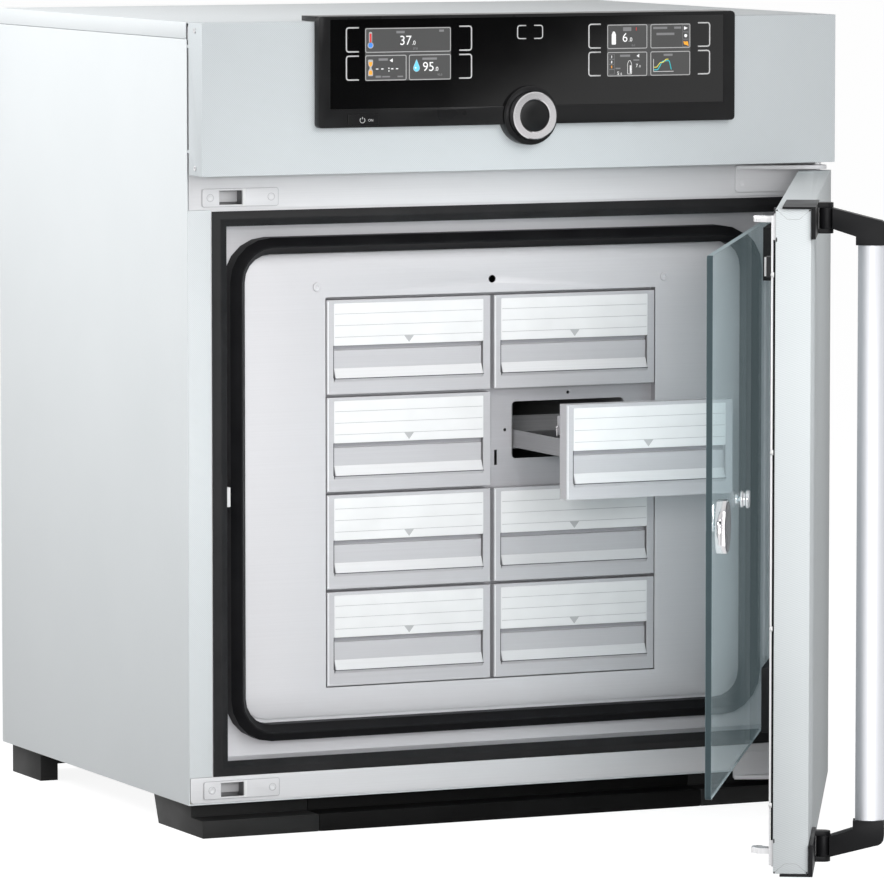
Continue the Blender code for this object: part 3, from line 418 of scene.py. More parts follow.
def tintBy(material, shader, source, dark, light, worn=None, wearAndSheen=None):
    tree = material.node_tree
    ramp = tree.nodes.new("ShaderNodeValToRGB")
    ends = (0.25, 0.75)  # of the noise, where the dark and the light colour are reached
    for stop, position, colour in zip(ramp.color_ramp.elements, ends, (dark, light)):
        stop.position = position
        stop.color = (*colour, 1)
    tree.links.new(source, ramp.inputs[0])
    colour = ramp.outputs[0]
    # lighter on edges: partly rubbed wear, partly painted highlight
    if wearAndSheen is not None:
        rubAndSheen = tree.nodes.new("ShaderNodeMix")
        rubAndSheen.data_type = "RGBA"
        tree.links.new(wearAndSheen, rubAndSheen.inputs["Factor"])
        tree.links.new(colour, rubAndSheen.inputs["A"])
        rubAndSheen.inputs["B"].default_value = (*worn, 1)
        colour = rubAndSheen.outputs["Result"]
    tree.links.new(colour, shader.inputs["Base Color"])


def bumpBy(material, shader, source, depth):
    values = {"Height": source, "Distance": depth * mm, "Strength": 1.0}
    material.node_tree.links.new(addNode(material.node_tree, "Bump", values)[0], shader.inputs["Normal"])


def lighter(colour, share):
    return tuple(part + (1 - part) * share for part in colour)


# what the finishes of a kind share: how far the lighter edges reach and how much lighter they go, partly wear and
# partly painted highlight, and how roughness swings
skinKinds = {
    "linen": {"group": linenGroup, "shown": "Shade", "raised": "Height", "reach": 0.9 * mm, "worn": 0.4,
              "smoother": 0.04, "rougher": 0.05},
    "brush": {"group": brushGroup, "shown": "Grain", "raised": "Grain", "reach": 0.7 * mm, "worn": 0.4,
              "smoother": 0.05, "rougher": 0.06},
    "moulded": {"group": skinGroup, "shown": "Cloud", "raised": "Height", "reach": 0.6 * mm, "worn": 0.08,
                "smoother": 0.05, "rougher": 0.05},
}


def makeFinish(name, kind, values, dark, light, roughness, metallic, specular, depth, wearAndSheen):
    s = skinKinds[kind]
    made, shader = newMaterial(name, light, roughness, metallic, specular)
    skin = placeGroup(made, s["group"], values)
    rubAndSheen = placeGroup(made, wearAndSheenGroup, {"Reach": s["reach"], "Amount": wearAndSheen})
    tintBy(made, shader, skin[s["shown"]], dark, light, lighter(light, s["worn"]), rubAndSheen["Mask"])
    roughBy(made, shader, skin[s["shown"]], roughness - s["smoother"], roughness + s["rougher"])
    bumpBy(made, shader, skin[s["raised"]], depth)
    return made


def linenMetal(name, dark, light, roughness, metallic, depth, weave=0.5, specular=0.2):
    values = {"Weave": weave}
    return makeFinish(name, "linen", values, dark, light, roughness, metallic, specular, depth, 0.25)


def brushedMetal(name, dark, light, roughness, metallic, along, depth=0.004, wearAndSheen=0.25):
    values = dict(zip(("AlongX", "AlongY", "AlongZ"), along))
    return makeFinish(name, "brush", values, dark, light, roughness, metallic, 0.4, depth, wearAndSheen)


def mouldedSkin(name, dark, light, roughness, size, depth=0.02, specular=0.25, wearAndSheen=0.3):
    return makeFinish(name, "moulded", {"Size": size}, dark, light, roughness, 0.0, specular, depth, wearAndSheen)


# scales of the grain's noise along x, y and z: sheets are brushed level, from side to side
sheetGrain = (5.0, 5.0, 900.0)
drawerGrain = (4.0, 4.0, 1100.0)

# dark and light colour, roughness, metallic, bump depth in mm, then weave and specular where they differ
linenFinishes = {
    "embossedPale": ((0.69, 0.725, 0.74), (0.76, 0.79, 0.805), 0.5, 0.05, 0.05),
    "embossedHeader": ((0.58, 0.62, 0.64), (0.665, 0.705, 0.725), 0.5, 0.05, 0.06, 0.7),
    "embossedDoor": ((0.66, 0.7, 0.715), (0.75, 0.79, 0.805), 0.55, 0.0, 0.03, 0.35, 0.05),
}

# dark and light colour, roughness, metallic, grain, then bump depth and the edges' wear and painted highlight
# where they differ
brushedFinishes = {
    "faceSteel": ((0.71, 0.71, 0.725), (0.745, 0.745, 0.76), 0.45, 0.1, sheetGrain),
    "plateSteel": ((0.66, 0.655, 0.675), (0.69, 0.685, 0.705), 0.5, 0.15, sheetGrain),
    "drawerSteel": ((0.57, 0.565, 0.585), (0.61, 0.605, 0.625), 0.46, 0.15, drawerGrain),
    "rackSteel": ((0.16, 0.16, 0.165), (0.22, 0.22, 0.225), 0.45, 0.3, (60.0, 5.0, 60.0)),
    # a lighter copy of the drawer steel for the grips' bent lips: painted light, as if they caught more from above
    "lipSteel": ((0.78, 0.78, 0.79), (0.82, 0.82, 0.83), 0.45, 0.1, drawerGrain),
    "traySteel": ((0.34, 0.34, 0.35), (0.42, 0.42, 0.43), 0.45, 0.3, drawerGrain),
    # plate steel made darker for the window plate: painted shade deep in the chamber
    "shadeSteel": ((0.46, 0.455, 0.475), (0.49, 0.485, 0.505), 0.5, 0.15, sheetGrain),
    "panelSteel": ((0.6, 0.6, 0.61), (0.68, 0.68, 0.69), 0.42, 0.4, sheetGrain),
    "backSteel": ((0.6, 0.6, 0.61), (0.68, 0.68, 0.69), 0.42, 0.5, (700.0, 6.0, 6.0)),
    "hookSteel": ((0.78, 0.78, 0.79), (0.88, 0.88, 0.89), 0.3, 0.6, (300.0, 300.0, 20.0)),
    "barAluminium": ((0.62, 0.63, 0.66), (0.66, 0.67, 0.7), 0.42, 1.0, (900.0, 900.0, 4.0), 0.0005, 0.0),
    "castMotor": ((0.4, 0.4, 0.41), (0.5, 0.5, 0.51), 0.5, 0.8, (30.0, 30.0, 30.0)),
}

# dark and light colour, roughness, pebble size, then bump depth in mm, specular and the edges' wear and painted
# highlight where they differ
mouldedFinishes = {
    "rubber": ((0.006, 0.006, 0.007), (0.011, 0.011, 0.012), 0.5, 600.0, 0.02, 0.1),
    "softRubber": ((0.012, 0.012, 0.013), (0.02, 0.02, 0.021), 0.45, 600.0, 0.02, 0.15),
    "blackPlastic": ((0.008, 0.008, 0.009), (0.013, 0.013, 0.014), 0.42, 1400.0, 0.015, 0.12),
    "footPlastic": ((0.012, 0.012, 0.012), (0.018, 0.018, 0.018), 0.5, 1100.0, 0.02, 0.15),
    "railPlastic": ((0.004, 0.004, 0.004), (0.007, 0.007, 0.007), 0.5, 1100.0, 0.02, 0.05),
    "bezelPlastic": ((0.006, 0.006, 0.0065), (0.01, 0.01, 0.0105), 0.32, 1600.0, 0.008, 0.2),
    "whitePlastic": ((0.8, 0.8, 0.8), (0.86, 0.86, 0.86), 0.35, 800.0, 0.01),
    "greyPlastic": ((0.13, 0.13, 0.135), (0.17, 0.17, 0.175), 0.45, 900.0, 0.01),
    "darkPlastic": ((0.035, 0.035, 0.038), (0.05, 0.05, 0.053), 0.4, 900.0, 0.01),
    "wool": ((0.5, 0.48, 0.38), (0.66, 0.63, 0.52), 0.95, 180.0, 1),
    "paneEdge": ((0.05, 0.075, 0.085), (0.062, 0.09, 0.1), 0.5, 200.0, 0.002, 0.1, 0.2),
}


def makeChrome():
    made, shader = newMaterial("polishedChrome", (0.64, 0.63, 0.64), 0.12, 1.0)
    cloud = placeGroup(made, brushGroup, {"AlongX": 90.0, "AlongY": 90.0, "AlongZ": 90.0})["Cloud"]
    tintBy(made, shader, cloud, (0.6, 0.59, 0.605), (0.68, 0.67, 0.68))
    roughBy(made, shader, cloud, 0.07, 0.14)
    return made


def makeCoverGlass():
    made, shader = newMaterial("coverGlass", (0.002, 0.002, 0.0022), 0.11, 0.0)
    roughBy(made, shader, placeGroup(made, skinGroup, {"Size": 60.0})["Cloud"], 0.1, 0.12)
    return made


def makePaneGlass():
    # the camera looks along this pane, so it bends light little; its faint glow is painted reflection, the sheen
    # of its faces
    made, shader = newMaterial("paneGlass", (0.88, 0.95, 0.96), 0.02, 0.0, 0.1)
    cloud = placeGroup(made, skinGroup, {"Size": 8.0})["Cloud"]
    tintBy(made, shader, cloud, (0.87, 0.94, 0.95), (0.89, 0.96, 0.97))
    shader.inputs["Transmission Weight"].default_value = 1.0
    # painted reflection: a faint teal emission on the pane
    shader.inputs["Emission Color"].default_value = (0.6, 0.8, 0.86, 1)
    shader.inputs["Emission Strength"].default_value = 0.045
    shader.inputs["IOR"].default_value = 1.02
    return made


def makeInkOrPaintedLight(name, colour, glow=0.0, roughness=0.45):
    # a thin print, a little uneven, that may be lit from behind; the same thin layer also carries painted shade
    # and painted highlights
    faded = 0.93
    made, shader = newMaterial(name, colour, roughness, 0.0, 0.3)
    skin = placeGroup(made, skinGroup, {"Size": 500.0})
    tintBy(made, shader, skin["Cloud"], [part * faded for part in colour], colour)
    bumpBy(made, shader, skin["Height"], 0.002)
    if glow:
        shader.inputs["Emission Color"].default_value = (*colour, 1)
        shader.inputs["Emission Strength"].default_value = glow
    return made


finishes = {"chrome": makeChrome(), "coverGlass": makeCoverGlass(), "paneGlass": makePaneGlass()}
for make, table in ((linenMetal, linenFinishes), (brushedMetal, brushedFinishes),
                    (mouldedSkin, mouldedFinishes)):
    for name, values in table.items():
        finishes[name] = make(name, *values)

drawerFronts = [f"drawer_front_{i}" for i in range(1, 9)]
nodeFinishes = {
    "embossedPale": ["housing_shell", "roof_cover"],
    "embossedDoor": ["door_skin"],
    "embossedHeader": ["header_panel"],
    "faceSteel": ["face_frame", *bothEnds("hinge_bracket", "latch_plate")],
    "plateSteel": ["drawer_front_frame", "chamber_liner"],
    "shadeSteel": ["window_plate"],
    "rackSteel": ["drawer_rack"],
    "panelSteel": ["door_inner_panel"],
    "backSteel": ["back_panel"],
    "hookSteel": bothEnds("latch_hook"),
    "barAluminium": ["handle_bar"],
    "rubber": ["inner_gasket"],
    "softRubber": ["outer_gasket"],
    "footPlastic": ["foot_front_left", "foot_front_right", "rear_foot_rail"],
    "railPlastic": ["front_rail"],
    "blackPlastic": bothEnds("handle_clamp", "handle_arm", "glass_hinge_leaf") + ["power_inlet", "fan_wheel"],
    "bezelPlastic": ["cockpit_frame", "power_button", "control_knob_cap"],
    "whitePlastic": ["glass_striker"],
    "wool": ["insulation"],
    "castMotor": ["fan_motor"],
    "chrome": ["glass_pull_knob", "glass_latch_knob", "control_knob_ring"],
    "coverGlass": ["cockpit_glass"],
    "paneGlass": ["glass_pane"],
    "drawerSteel": drawerFronts,
    "traySteel": [f"drawer_tray_{i}" for i in range(1, 9)],
}
for finishName, members in nodeFinishes.items():
    for member in members:
        for holder in nodes[member].material_slots:
            holder.material = finishes[finishName]
nodes["glass_pane"].visible_shadow = False  # clear glass lets the lamps through
print("materials given to", sum(len(members) for members in nodeFinishes.values()), "nodes")


# small roundings on the outside edges, and smooth bends, as live modifiers
edgeRounding = {
    0.8 * mm: ["housing_shell", "roof_cover", "header_panel", "door_skin", "foot_front_left",
               "foot_front_right", "front_rail", "rear_foot_rail", "cockpit_frame"],
    0.4 * mm: ["face_frame", "drawer_front_frame", "glass_striker", "power_button", *drawerFronts,
               *bothEnds("handle_arm", "hinge_bracket", "handle_clamp", "glass_hinge_leaf", "latch_hook")],
    0.15 * mm: ["glass_latch_knob", "glass_pull_knob", *bothEnds("latch_plate")],
}
weldReach = 0.005 * mm
bendLimits = {"crisp": 12, "soft": 32}  # degrees up to which a bend is shaded smooth


def makeSmoothBends(limit):
    tree = bpy.data.node_groups.new("smoothBends", "GeometryNodeTree")
    for way in ("INPUT", "OUTPUT"):
        tree.interface.new_socket("Geometry", in_out=way, socket_type="NodeSocketGeometry")
    entry = tree.nodes.new("NodeGroupInput")
    leave = tree.nodes.new("NodeGroupOutput")
    faces = tree.nodes.new("GeometryNodeSetShadeSmooth")
    edges = tree.nodes.new("GeometryNodeSetShadeSmooth")
    edges.domain = "EDGE"
    edges.inputs["Shade Smooth"].default_value = False
    bend = tree.nodes.new("GeometryNodeInputMeshEdgeAngle")
    sharp = tree.nodes.new("FunctionNodeCompare")
    sharp.operation = "GREATER_THAN"
    sharp.inputs[1].default_value = math.radians(limit)
    tree.links.new(bend.outputs[0], sharp.inputs[0])
    tree.links.new(sharp.outputs[0], edges.inputs["Selection"])
    tree.links.new(entry.outputs[0], faces.inputs["Geometry"])
    tree.links.new(faces.outputs[0], edges.inputs["Geometry"])
    tree.links.new(edges.outputs[0], leave.inputs[0])
    return tree


bends = {kind: makeSmoothBends(limit) for kind, limit in bendLimits.items()}
for name, node in nodes.items():
    if name == "glass_pane":  # the pane stays flat and sharp
        continue
    node.modifiers.new("weld", "WELD").merge_threshold = weldReach
    for width, members in edgeRounding.items():
        if name in members:
            roundEdges(node, width, 2, 40)
    kind = "crisp" if name in drawerFronts else "soft"
    node.modifiers.new("smoothBends", "NODES").node_group = bends[kind]
print("edges rounded")


# labels, grips and folds of the drawer fronts, with painted shade in the grips and painted highlights on the lips
# and left folds; tops and bottoms are measured down from a front's upper edge
labelSettings = inMetres({
    "drop": 3.6,
    "width": 169.6,
    "height": 43.7,
    "thickness": 0.35,
    "corner": 1.2,
    "rounding": 0.08,
    "lines": (10.9, 22.9, 34.9),
    "lineWidth": 0.55,
    "lineMargin": 1.1,
    "mark": (10.9, 7.0),
    "markDrop": 35.2,
    "foldWidth": 1.1,
    "foldMargin": 1.2,
    "gapWidth": 0.8,
    "gapTop": 47.3,
    "gapBottom": 81.0,
    "lipGap": 0.9,
    "lipReach": 2.0,
    "lipBack": 3.0,
    "lipTop": 71.0,
    "lipSkin": 0.12,
    "lipProud": 0.6,
    "recessBack": 5.9,
    "recessBottom": 52.4,
})


def frontFace(number, top):
    # the flat of a drawer front, behind the reach of its grip
    upperStrip = 1 * mm
    corners = nodes[f"drawer_front_{number}"].data.vertices
    return min(corner.co.y for corner in corners if corner.co.z > top - upperStrip)


def hangOnFront(piece, name, number, material):
    settle(piece, f"{name}{number}", material, f"drawer_{number}", None, 0)


def addLabels():
    s = labelSettings
    paper = makeInkOrPaintedLight("labelPaper", (0.93, 0.935, 0.94), 0.0, 0.5)
    ink = makeInkOrPaintedLight("labelInk", (0.55, 0.555, 0.565), 0.0, 0.6)
    shade = makeInkOrPaintedLight("recessShade", (0.36, 0.36, 0.38), 0.0, 0.6)
    dark = makeInkOrPaintedLight("gapShade", (0.09, 0.09, 0.1), 0.0, 0.6)
    shine = makeInkOrPaintedLight("foldShine", (0.92, 0.92, 0.93), 0.0, 0.3)
    for number in range(1, 9):
        low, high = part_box(f"drawer_front_{number}")
        middle = (low.x + high.x) / 2
        face = frontFace(number, high.z)
        left = middle - s["width"] / 2
        right = middle + s["width"] / 2
        top = high.z - s["drop"]
        label = drawPatch(boxPoints(left, right, top - s["height"], top), face, s["thickness"], s["corner"])
        roundEdges(label, s["rounding"], 1)
        hangOnFront(label, "drawerLabel", number, paper)

        front = face - s["thickness"]
        half = s["lineWidth"] / 2
        marks = []
        for level in [top - drop for drop in s["lines"]]:
            line = boxPoints(left + s["lineMargin"], right - s["lineMargin"], level - half, level + half)
            marks.append(drawPatch(line, front))
        wide, deep = s["mark"]
        level = top - s["markDrop"]
        arrow = [(middle - wide / 2, level), (middle, level - deep), (middle + wide / 2, level)]
        marks.append(drawPatch(arrow, front))
        hangOnFront(joinPieces(marks), "drawerLabelMarks", number, ink)

        # painted shadow: a dark strip beside the flap's left side and a dark slab under the lip
        lip = high.z - s["gapBottom"]
        gapTop = high.z - s["gapTop"]
        side = drawPatch(boxPoints(left - s["gapWidth"], left, lip, gapTop), face)
        under = addSlab(left, right, face - s["lipReach"], face - s["lipReach"] / 2, lip - s["lipGap"], lip)
        hangOnFront(joinPieces([side, under]), "drawerGripGap", number, dark)
        # painted shade: a mid-grey patch at the back of the recess under the label
        behind = drawPatch(boxPoints(left, right, high.z - s["recessBottom"], gapTop), face + s["recessBack"])
        hangOnFront(behind, "drawerGripShade", number, shade)

        # painted light: a skin of the lighter lip steel laid on the bent lip
        rise = s["gapBottom"] - s["lipTop"]
        run = s["lipReach"] + s["lipBack"]
        reach = math.hypot(rise, run)
        margin = s["foldMargin"]
        cover = addSlab(left + margin, right - margin, -s["lipSkin"], 0, -reach / 2, reach / 2)
        spot = (0, face + (s["lipBack"] - s["lipReach"]) / 2 - s["lipProud"], lip + rise / 2)
        lean = Matrix.Rotation(-math.atan2(run, rise), 4, "X")
        cover.data.transform(Matrix.Translation(spot) @ lean)
        hangOnFront(cover, "drawerLip", number, finishes["lipSteel"])
        # painted highlight: a bright strip down the left fold of each front
        edge = low.x + margin
        fold = drawPatch(boxPoints(edge, edge + s["foldWidth"], low.z + margin, high.z - margin), face)
        hangOnFront(fold, "drawerFold", number, shine)


addLabels()
print("labels made")


# the control panel's print: bracket keys beside the screens, a menu key and the power mark
panelSettings = inMetres({
    "face": -51.0,
    "keyStroke": 1.6,
    "keyCorner": 3.0,
    "keyLevels": ((773.8, 799.6), (802.4, 828.4)),
    "keySpans": ((-205.8, -191.2), (-64.6, -79.2), (66.9, 81.2), (207.5, 193.1)),
    "menuKey": (-14.2, 15.7, 814.0, 827.4),
    "menuGap": 9.0,
    "powerMark": (-187.6, 733.6, 2.7, 0.75),
    "powerWord": (6.2, -1.4, 2.6),
    "screenBottom": 773.4,
    "screenTop": 827.2,
    "screens": ((-184.3, -88.5), (88.5, 184.3)),
    "screenCorner": 0.6,
})

# marks of the two screens, in mm to the right of and below a screen's upper left corner:
# dots are (lift, screen, right, down, radius, corners), patches (lift, screen, corner, points),
# rings and lines (lift, screen, width, corner, points), bars (screen, right, down, length, height)
# and numbers (words, screen, right, down, height), where lift is the distance from the panel
dropTurns = [math.radians(22.5 - 22.5 * i) for i in range(11)]
dropBelly = [(57.2 + 3.4 * math.cos(turn), 41.4 - 3.6 * math.sin(turn)) for turn in dropTurns]
tiles = ((0, 0.6, 95.2, 0.7, 24.7), (0, 0.6, 45.6, 28.2, 53.2), (0, 49.2, 95.2, 28.2, 53.2),
         (1, 0.6, 45.6, 0.7, 24.9), (1, 50.2, 95.2, 0.7, 24.9), (1, 0.6, 45.6, 29.0, 53.2),
         (1, 50.2, 95.2, 29.0, 53.2))
screenMarks = {
    "Plates": {"ink": ("Grey", 0.062, 0.062, 0.062), "plates": (0, 1)},
    "Frames": {
        "ink": ("Frame", 0.42, 0.42, 0.42),
        "rings": [(0.1, screen, 0.95, 1.6, boxPoints(*box)) for screen, *box in tiles]
        + [(0.1, 0, 0.8, 0, dropBelly + [(57.2, 32.5)])],
        "dots": [(0.1, 0, 6.0, 17.6, 3.3, 20)],
        "patches": [(0.1, 0, 1.7, boxPoints(4.2, 7.8, 17.6, 4.0)),
                    (0.1, 0, 1.4, ((3.2, 32.1), (8.8, 32.1), (8.6, 37.5), (6.6, 40.5), (8.6, 43.5),
                                   (8.8, 48.9), (3.2, 48.9), (3.4, 43.5), (5.4, 40.5), (3.4, 37.5)))],
    },
    "Blue": {"ink": ("Blue", 0.06, 0.25, 0.75), "dots": [(0.2, 0, 6.0, 17.6, 2.5, 20)]},
    "Red": {
        "ink": ("Red", 0.72, 0.05, 0.05),
        "lines": [(0.2, 0, 2.2, 0, ((6.0, 14.6), (6.0, 5.6))), (0.12, 1, 0.7, 0, ((33.4, 3.4), (33.4, 6.6)))],
    },
    "Numbers": {
        "ink": ("White", 0.85, 0.85, 0.85),
        "numbers": [("37", 0, 38.2, 8.0, 9.6), (".0", 0, 52.0, 13.4, 4.2), ("95", 0, 63.9, 35.2, 9.4),
                    (".0", 0, 77.4, 40.4, 4.2), ("6", 1, 17.2, 8.8, 9.2), (".0", 1, 24.6, 13.6, 4.2),
                    ("7", 1, 32.8, 41.0, 3.6), (".0", 1, 36.2, 42.4, 2.2), ("5", 1, 11.4, 48.6, 3.6),
                    (".0", 1, 14.8, 50.0, 2.2)],
        "lines": [(0.12, 0, 1.3, 0, ((right, 41.8), (right + 2.6, 41.8)))
                  for right in (12.0, 17.8, 28.8, 34.2)]
        + [(0.12, 1, 0.9, 0, ((5.2, 32.2), (5.2, 34.8))), (0.12, 1, 1.4, 0, ((5.2, 37.6), (5.2, 40.2))),
           (0.12, 1, 1.7, 0, ((26.8, 50.6), (26.8, 42.4))),
           (0.12, 1, 0.55, 0, ((53.4, 36.4), (53.4, 49.4), (76.4, 49.4)))],
        "rings": [(0.12, 1, 0.55, 1.0, ((23.5, 51.4), (28.1, 51.4), (28.1, 40.8), (26.7, 37.6), (24.9, 37.6),
                                        (23.5, 40.8)))],
        "dots": [(0.12, 0, 26.4, 41.2, 0.7, 10), (0.12, 0, 26.4, 44.0, 0.7, 10),
                 (0.28, 0, 56.1, 41.2, 0.9, 10), (0.12, 1, 90.4, 12.7, 1.7, 14)],
        "patches": [(0.12, 0, 0, ((27.2, 33.4), (30.6, 31.2), (30.6, 35.2))),
                    (0.12, 1, 1.0, ((5.2, 20.8), (10.0, 20.8), (10.0, 10.4), (8.4, 7.2), (6.8, 7.2),
                                    (5.2, 10.4))),
                    (0.12, 1, 0, ((88.4, 3.0), (92.6, 4.8), (88.4, 6.8))),
                    (0.12, 1, 0, ((33.6, 32.8), (36.8, 30.8), (36.8, 34.6)))],
    },
    "SmallMarks": {
        "ink": ("Dim", 0.2, 0.2, 0.205),
        "numbers": [("37.0", 0, 53.2, 20.4, 2.2), ("95.0", 0, 80.6, 47.4, 2.2), ("6.0", 1, 28.2, 20.6, 2.2)],
        "bars": [(0, 34.8, 3.4, 9.2, 2.4), (0, 82.6, 2.6, 5.2, 2.2), (0, 15.0, 31.0, 10.2, 2.4),
                 (0, 11.6, 48.6, 6.0, 2.0), (0, 19.0, 49.0, 8.6, 1.4), (0, 36.0, 49.0, 6.2, 1.4),
                 (0, 63.8, 31.0, 16.2, 2.2), (1, 18.2, 3.0, 9.4, 4.0), (1, 52.8, 3.2, 16.2, 2.2),
                 (1, 77.0, 3.2, 8.0, 2.2), (1, 56.6, 9.4, 20.6, 2.4), (1, 14.8, 31.4, 11.6, 2.2),
                 (1, 30.2, 36.4, 6.6, 1.4), (1, 9.6, 44.8, 5.6, 1.4), (1, 65.0, 31.2, 10.2, 2.2)],
        "rings": [(0.12, 1, 0.4, 0.6, boxPoints(86.8, 94.0, down, down + 7.0)) for down in (1.4, 9.2, 17.0)]
        + [(0.12, 1, 0.35, 0.4, boxPoints(2.0, 8.4, down, down + 4.8)) for down in (31.0, 36.2, 41.4, 46.6)],
    },
    "Orange": {
        "ink": ("Orange", 0.9, 0.38, 0.04),
        "lines": [(0.12, 1, 1.2, 0, ((5.2, 42.6), (5.2, 45.2)))],
        "patches": [(0.2, 0, 0.8, ((4.0, 34.5), (8.0, 34.5), (7.7, 37.5), (6.0, 39.7), (4.3, 37.5))),
                    (0.2, 0, 0.8, ((4.0, 47.5), (8.0, 47.5), (7.8, 44.1), (6.0, 42.7), (4.2, 44.1))),
                    (0.12, 1, 0, ((87.6, 18.4), (90.0, 18.9), (92.6, 18.4), (93.4, 21.0), (93.6, 23.6),
                                  (91.2, 22.2), (88.6, 21.8)))],
    },
    "Sky": {"ink": ("Sky", 0.16, 0.6, 0.85), "patches": [(0.16, 0, 0, dropBelly + [(57.2, 32.8)])]},
    "Teal": {
        "ink": ("Teal", 0.05, 0.55, 0.6),
        "lines": [(0.16, 1, 1.0, 1.2, ((53.8, 47.6), (58.2, 47.6), (63.6, 38.8), (71.4, 38.2),
                                       (73.8, 47.6)))],
    },
    "Yellow": {
        "ink": ("Yellow", 0.75, 0.68, 0.12),
        "lines": [(0.26, 1, 1.0, 1.2, ((53.8, 44.9), (57.0, 44.9), (61.0, 40.0), (64.4, 40.0), (67.6, 36.8),
                                       (70.4, 36.8)))],
    },
}


def addScreens():
    s = panelSettings
    front = s["face"]
    textLift, barSkin, glow = 0.12, 0.08, 0.35

    def at(screen, points):
        return [(s["screens"][screen][0] + right * mm, s["screenTop"] - down * mm) for right, down in points]

    for group, rows in screenMarks.items():
        marks = []
        for screen in rows.get("plates", ()):
            plate = boxPoints(*s["screens"][screen], s["screenBottom"], s["screenTop"])
            marks.append(drawPatch(plate, front, 0.1 * mm, s["screenCorner"]))
        for kind in ("rings", "lines"):
            for lift, screen, width, corner, points in rows.get(kind, ()):
                marks.append(drawLine(at(screen, points), width * mm, front - lift * mm, corner * mm,
                                      kind == "rings"))
        for lift, screen, right, down, radius, count in rows.get("dots", ()):
            (x, z), = at(screen, [(right, down)])
            marks.append(drawPatch(roundPoints(x, z, radius * mm, count=count), front - lift * mm))
        for lift, screen, corner, points in rows.get("patches", ()):
            marks.append(drawPatch(at(screen, points), front - lift * mm, 0.1 * mm, corner * mm))
        for screen, right, down, length, height in rows.get("bars", ()):
            bar = boxPoints(right, right + length, down + height, down)
            marks.append(drawPatch(at(screen, bar), front - textLift * mm, barSkin * mm))
        for words, screen, right, down, height in rows.get("numbers", ()):
            (x, z), = at(screen, [(right, down + height)])
            marks.append(drawText(words, x, z, height * mm, front - textLift * mm))
        ink, *colour = rows["ink"]
        settle(joinPieces(marks), "screen" + group, makeInkOrPaintedLight("screen" + ink, colour, glow), "cabinet",
               None, 0)


def addKeys():
    s = panelSettings
    menuShare, barShares = 0.8, (0.4, 1.25)
    start, sweep, steps = 40, 280, 20
    ink = makeInkOrPaintedLight("keyPrint", (0.6, 0.6, 0.6), 0.15)
    stroke = s["keyStroke"]
    half = stroke / 2
    keys = []

    def bracket(inner, spine, low, high, width):
        points = [(inner, low), (spine, low), (spine, high), (inner, high)]
        keys.append(drawLine(points, width, s["face"], s["keyCorner"]))

    for outer, inner in s["keySpans"]:
        for low, high in s["keyLevels"]:
            bracket(inner, outer + math.copysign(half, inner - outer), low + half, high - half, stroke)
    left, right, low, high = s["menuKey"]
    for side, end in ((-1, left), (1, right)):
        inner = (left + right) / 2 + side * s["menuGap"] / 2
        bracket(inner, end - side * half, low, high, stroke * menuShare)
    settle(joinPieces(keys), "panelKeys", ink, "cabinet", None, 0)

    x, z, radius, stroke = s["powerMark"]
    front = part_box("power_button")[0].y
    turns = [math.radians(start + sweep * i / steps) for i in range(steps + 1)]
    ring = [(x + radius * math.sin(turn), z + radius * math.cos(turn)) for turn in turns]
    bar = [(x, z + share * radius) for share in barShares]
    right, down, height = s["powerWord"]
    word = drawText("ON", x + right, z + down, height, front)
    settle(joinPieces([drawLine(ring, stroke, front), drawLine(bar, stroke, front), word]), "powerMark", ink,
           "power_key", None, 0)


addScreens()
addKeys()
print("control panel marked")


# what shows of drawer 6's carriage in the window: a ball-headed pin and a block
carriageSettings = inMetres({
    "pinFoot": (40.0, -34.4, 398.0),
    "pinRadius": 1.0,
    "pinLength": 11.0,
    "ballRadius": 1.7,
    "block": (42.0, 50.0, -47.0, -30.0, 402.0, 421.8),
    "rounding": 0.6,
})


def addBall(radius, segments):
    deselectAll()
    bpy.ops.mesh.primitive_uv_sphere_add(segments=segments, ring_count=segments // 2, radius=radius)
    return bpy.context.object


def addCarriage():
    s = carriageSettings
    ballShare = 0.8  # of its radius lies between the pin's end and the ball's centre
    foot = Matrix.Translation(s["pinFoot"])
    stem = addDisc(s["pinRadius"], s["pinLength"], 16)
    stem.data.transform(foot)
    head = addBall(s["ballRadius"], 16)
    rise = s["pinLength"] + s["ballRadius"] * ballShare
    head.data.transform(foot @ Matrix.Translation((0, 0, rise)))
    settle(joinPieces([stem, head]), "carriagePin", finishes["chrome"], "drawer_6")
    block = addSlab(*s["block"], s["rounding"])
    settle(block, "carriageBlock", finishes["plateSteel"], "drawer_6")


# screws and the hinge bolt
screwSettings = inMetres({
    "panHead": {"radius": 4.6, "height": 2.2, "socket": 1.6, "depth": 1.2},
    "flushHead": {"radius": 3.4, "height": 0.35, "socket": 1.9, "depth": 0.3},
    "hexHead": {"radius": 4.4, "height": 3.6, "socket": 1.9, "depth": 1.8},
    "smallHead": {"radius": 2.6, "height": 1.0, "socket": 1.2, "depth": 0.6},
})
screwPlaces = inMetres({
    "latch": (-334.5, -267.3),
    "hinge": (270.1, -1.8),
    "hingeLevels": {"top": 655.9, "bottom": 44.4},
    "frame": (-199, 199),
    "frameLevel": 558,
    "headerDepth": -22.8,
    "headerLevels": (826.0, 686.9),
    "back": (-345, 0, 345),
    "backLevels": (46, 434, 821),
})
forwards = (0, -1, 0)


def spreadScrews(name, kind, places, facing, material, sides=24):
    s = screwSettings[kind]
    edgeShare, edgeLimit = 0.3, 50
    screw = addDisc(s["radius"], s["height"], sides)
    insetAndSink(screw, facesUp, s["radius"] - s["socket"], s["depth"])
    roundEdges(screw, s["height"] * edgeShare, 2, edgeLimit)
    applyModifiers(screw)
    settle(copiesOf(screw, places, facing), name, finishes[material], "cabinet")


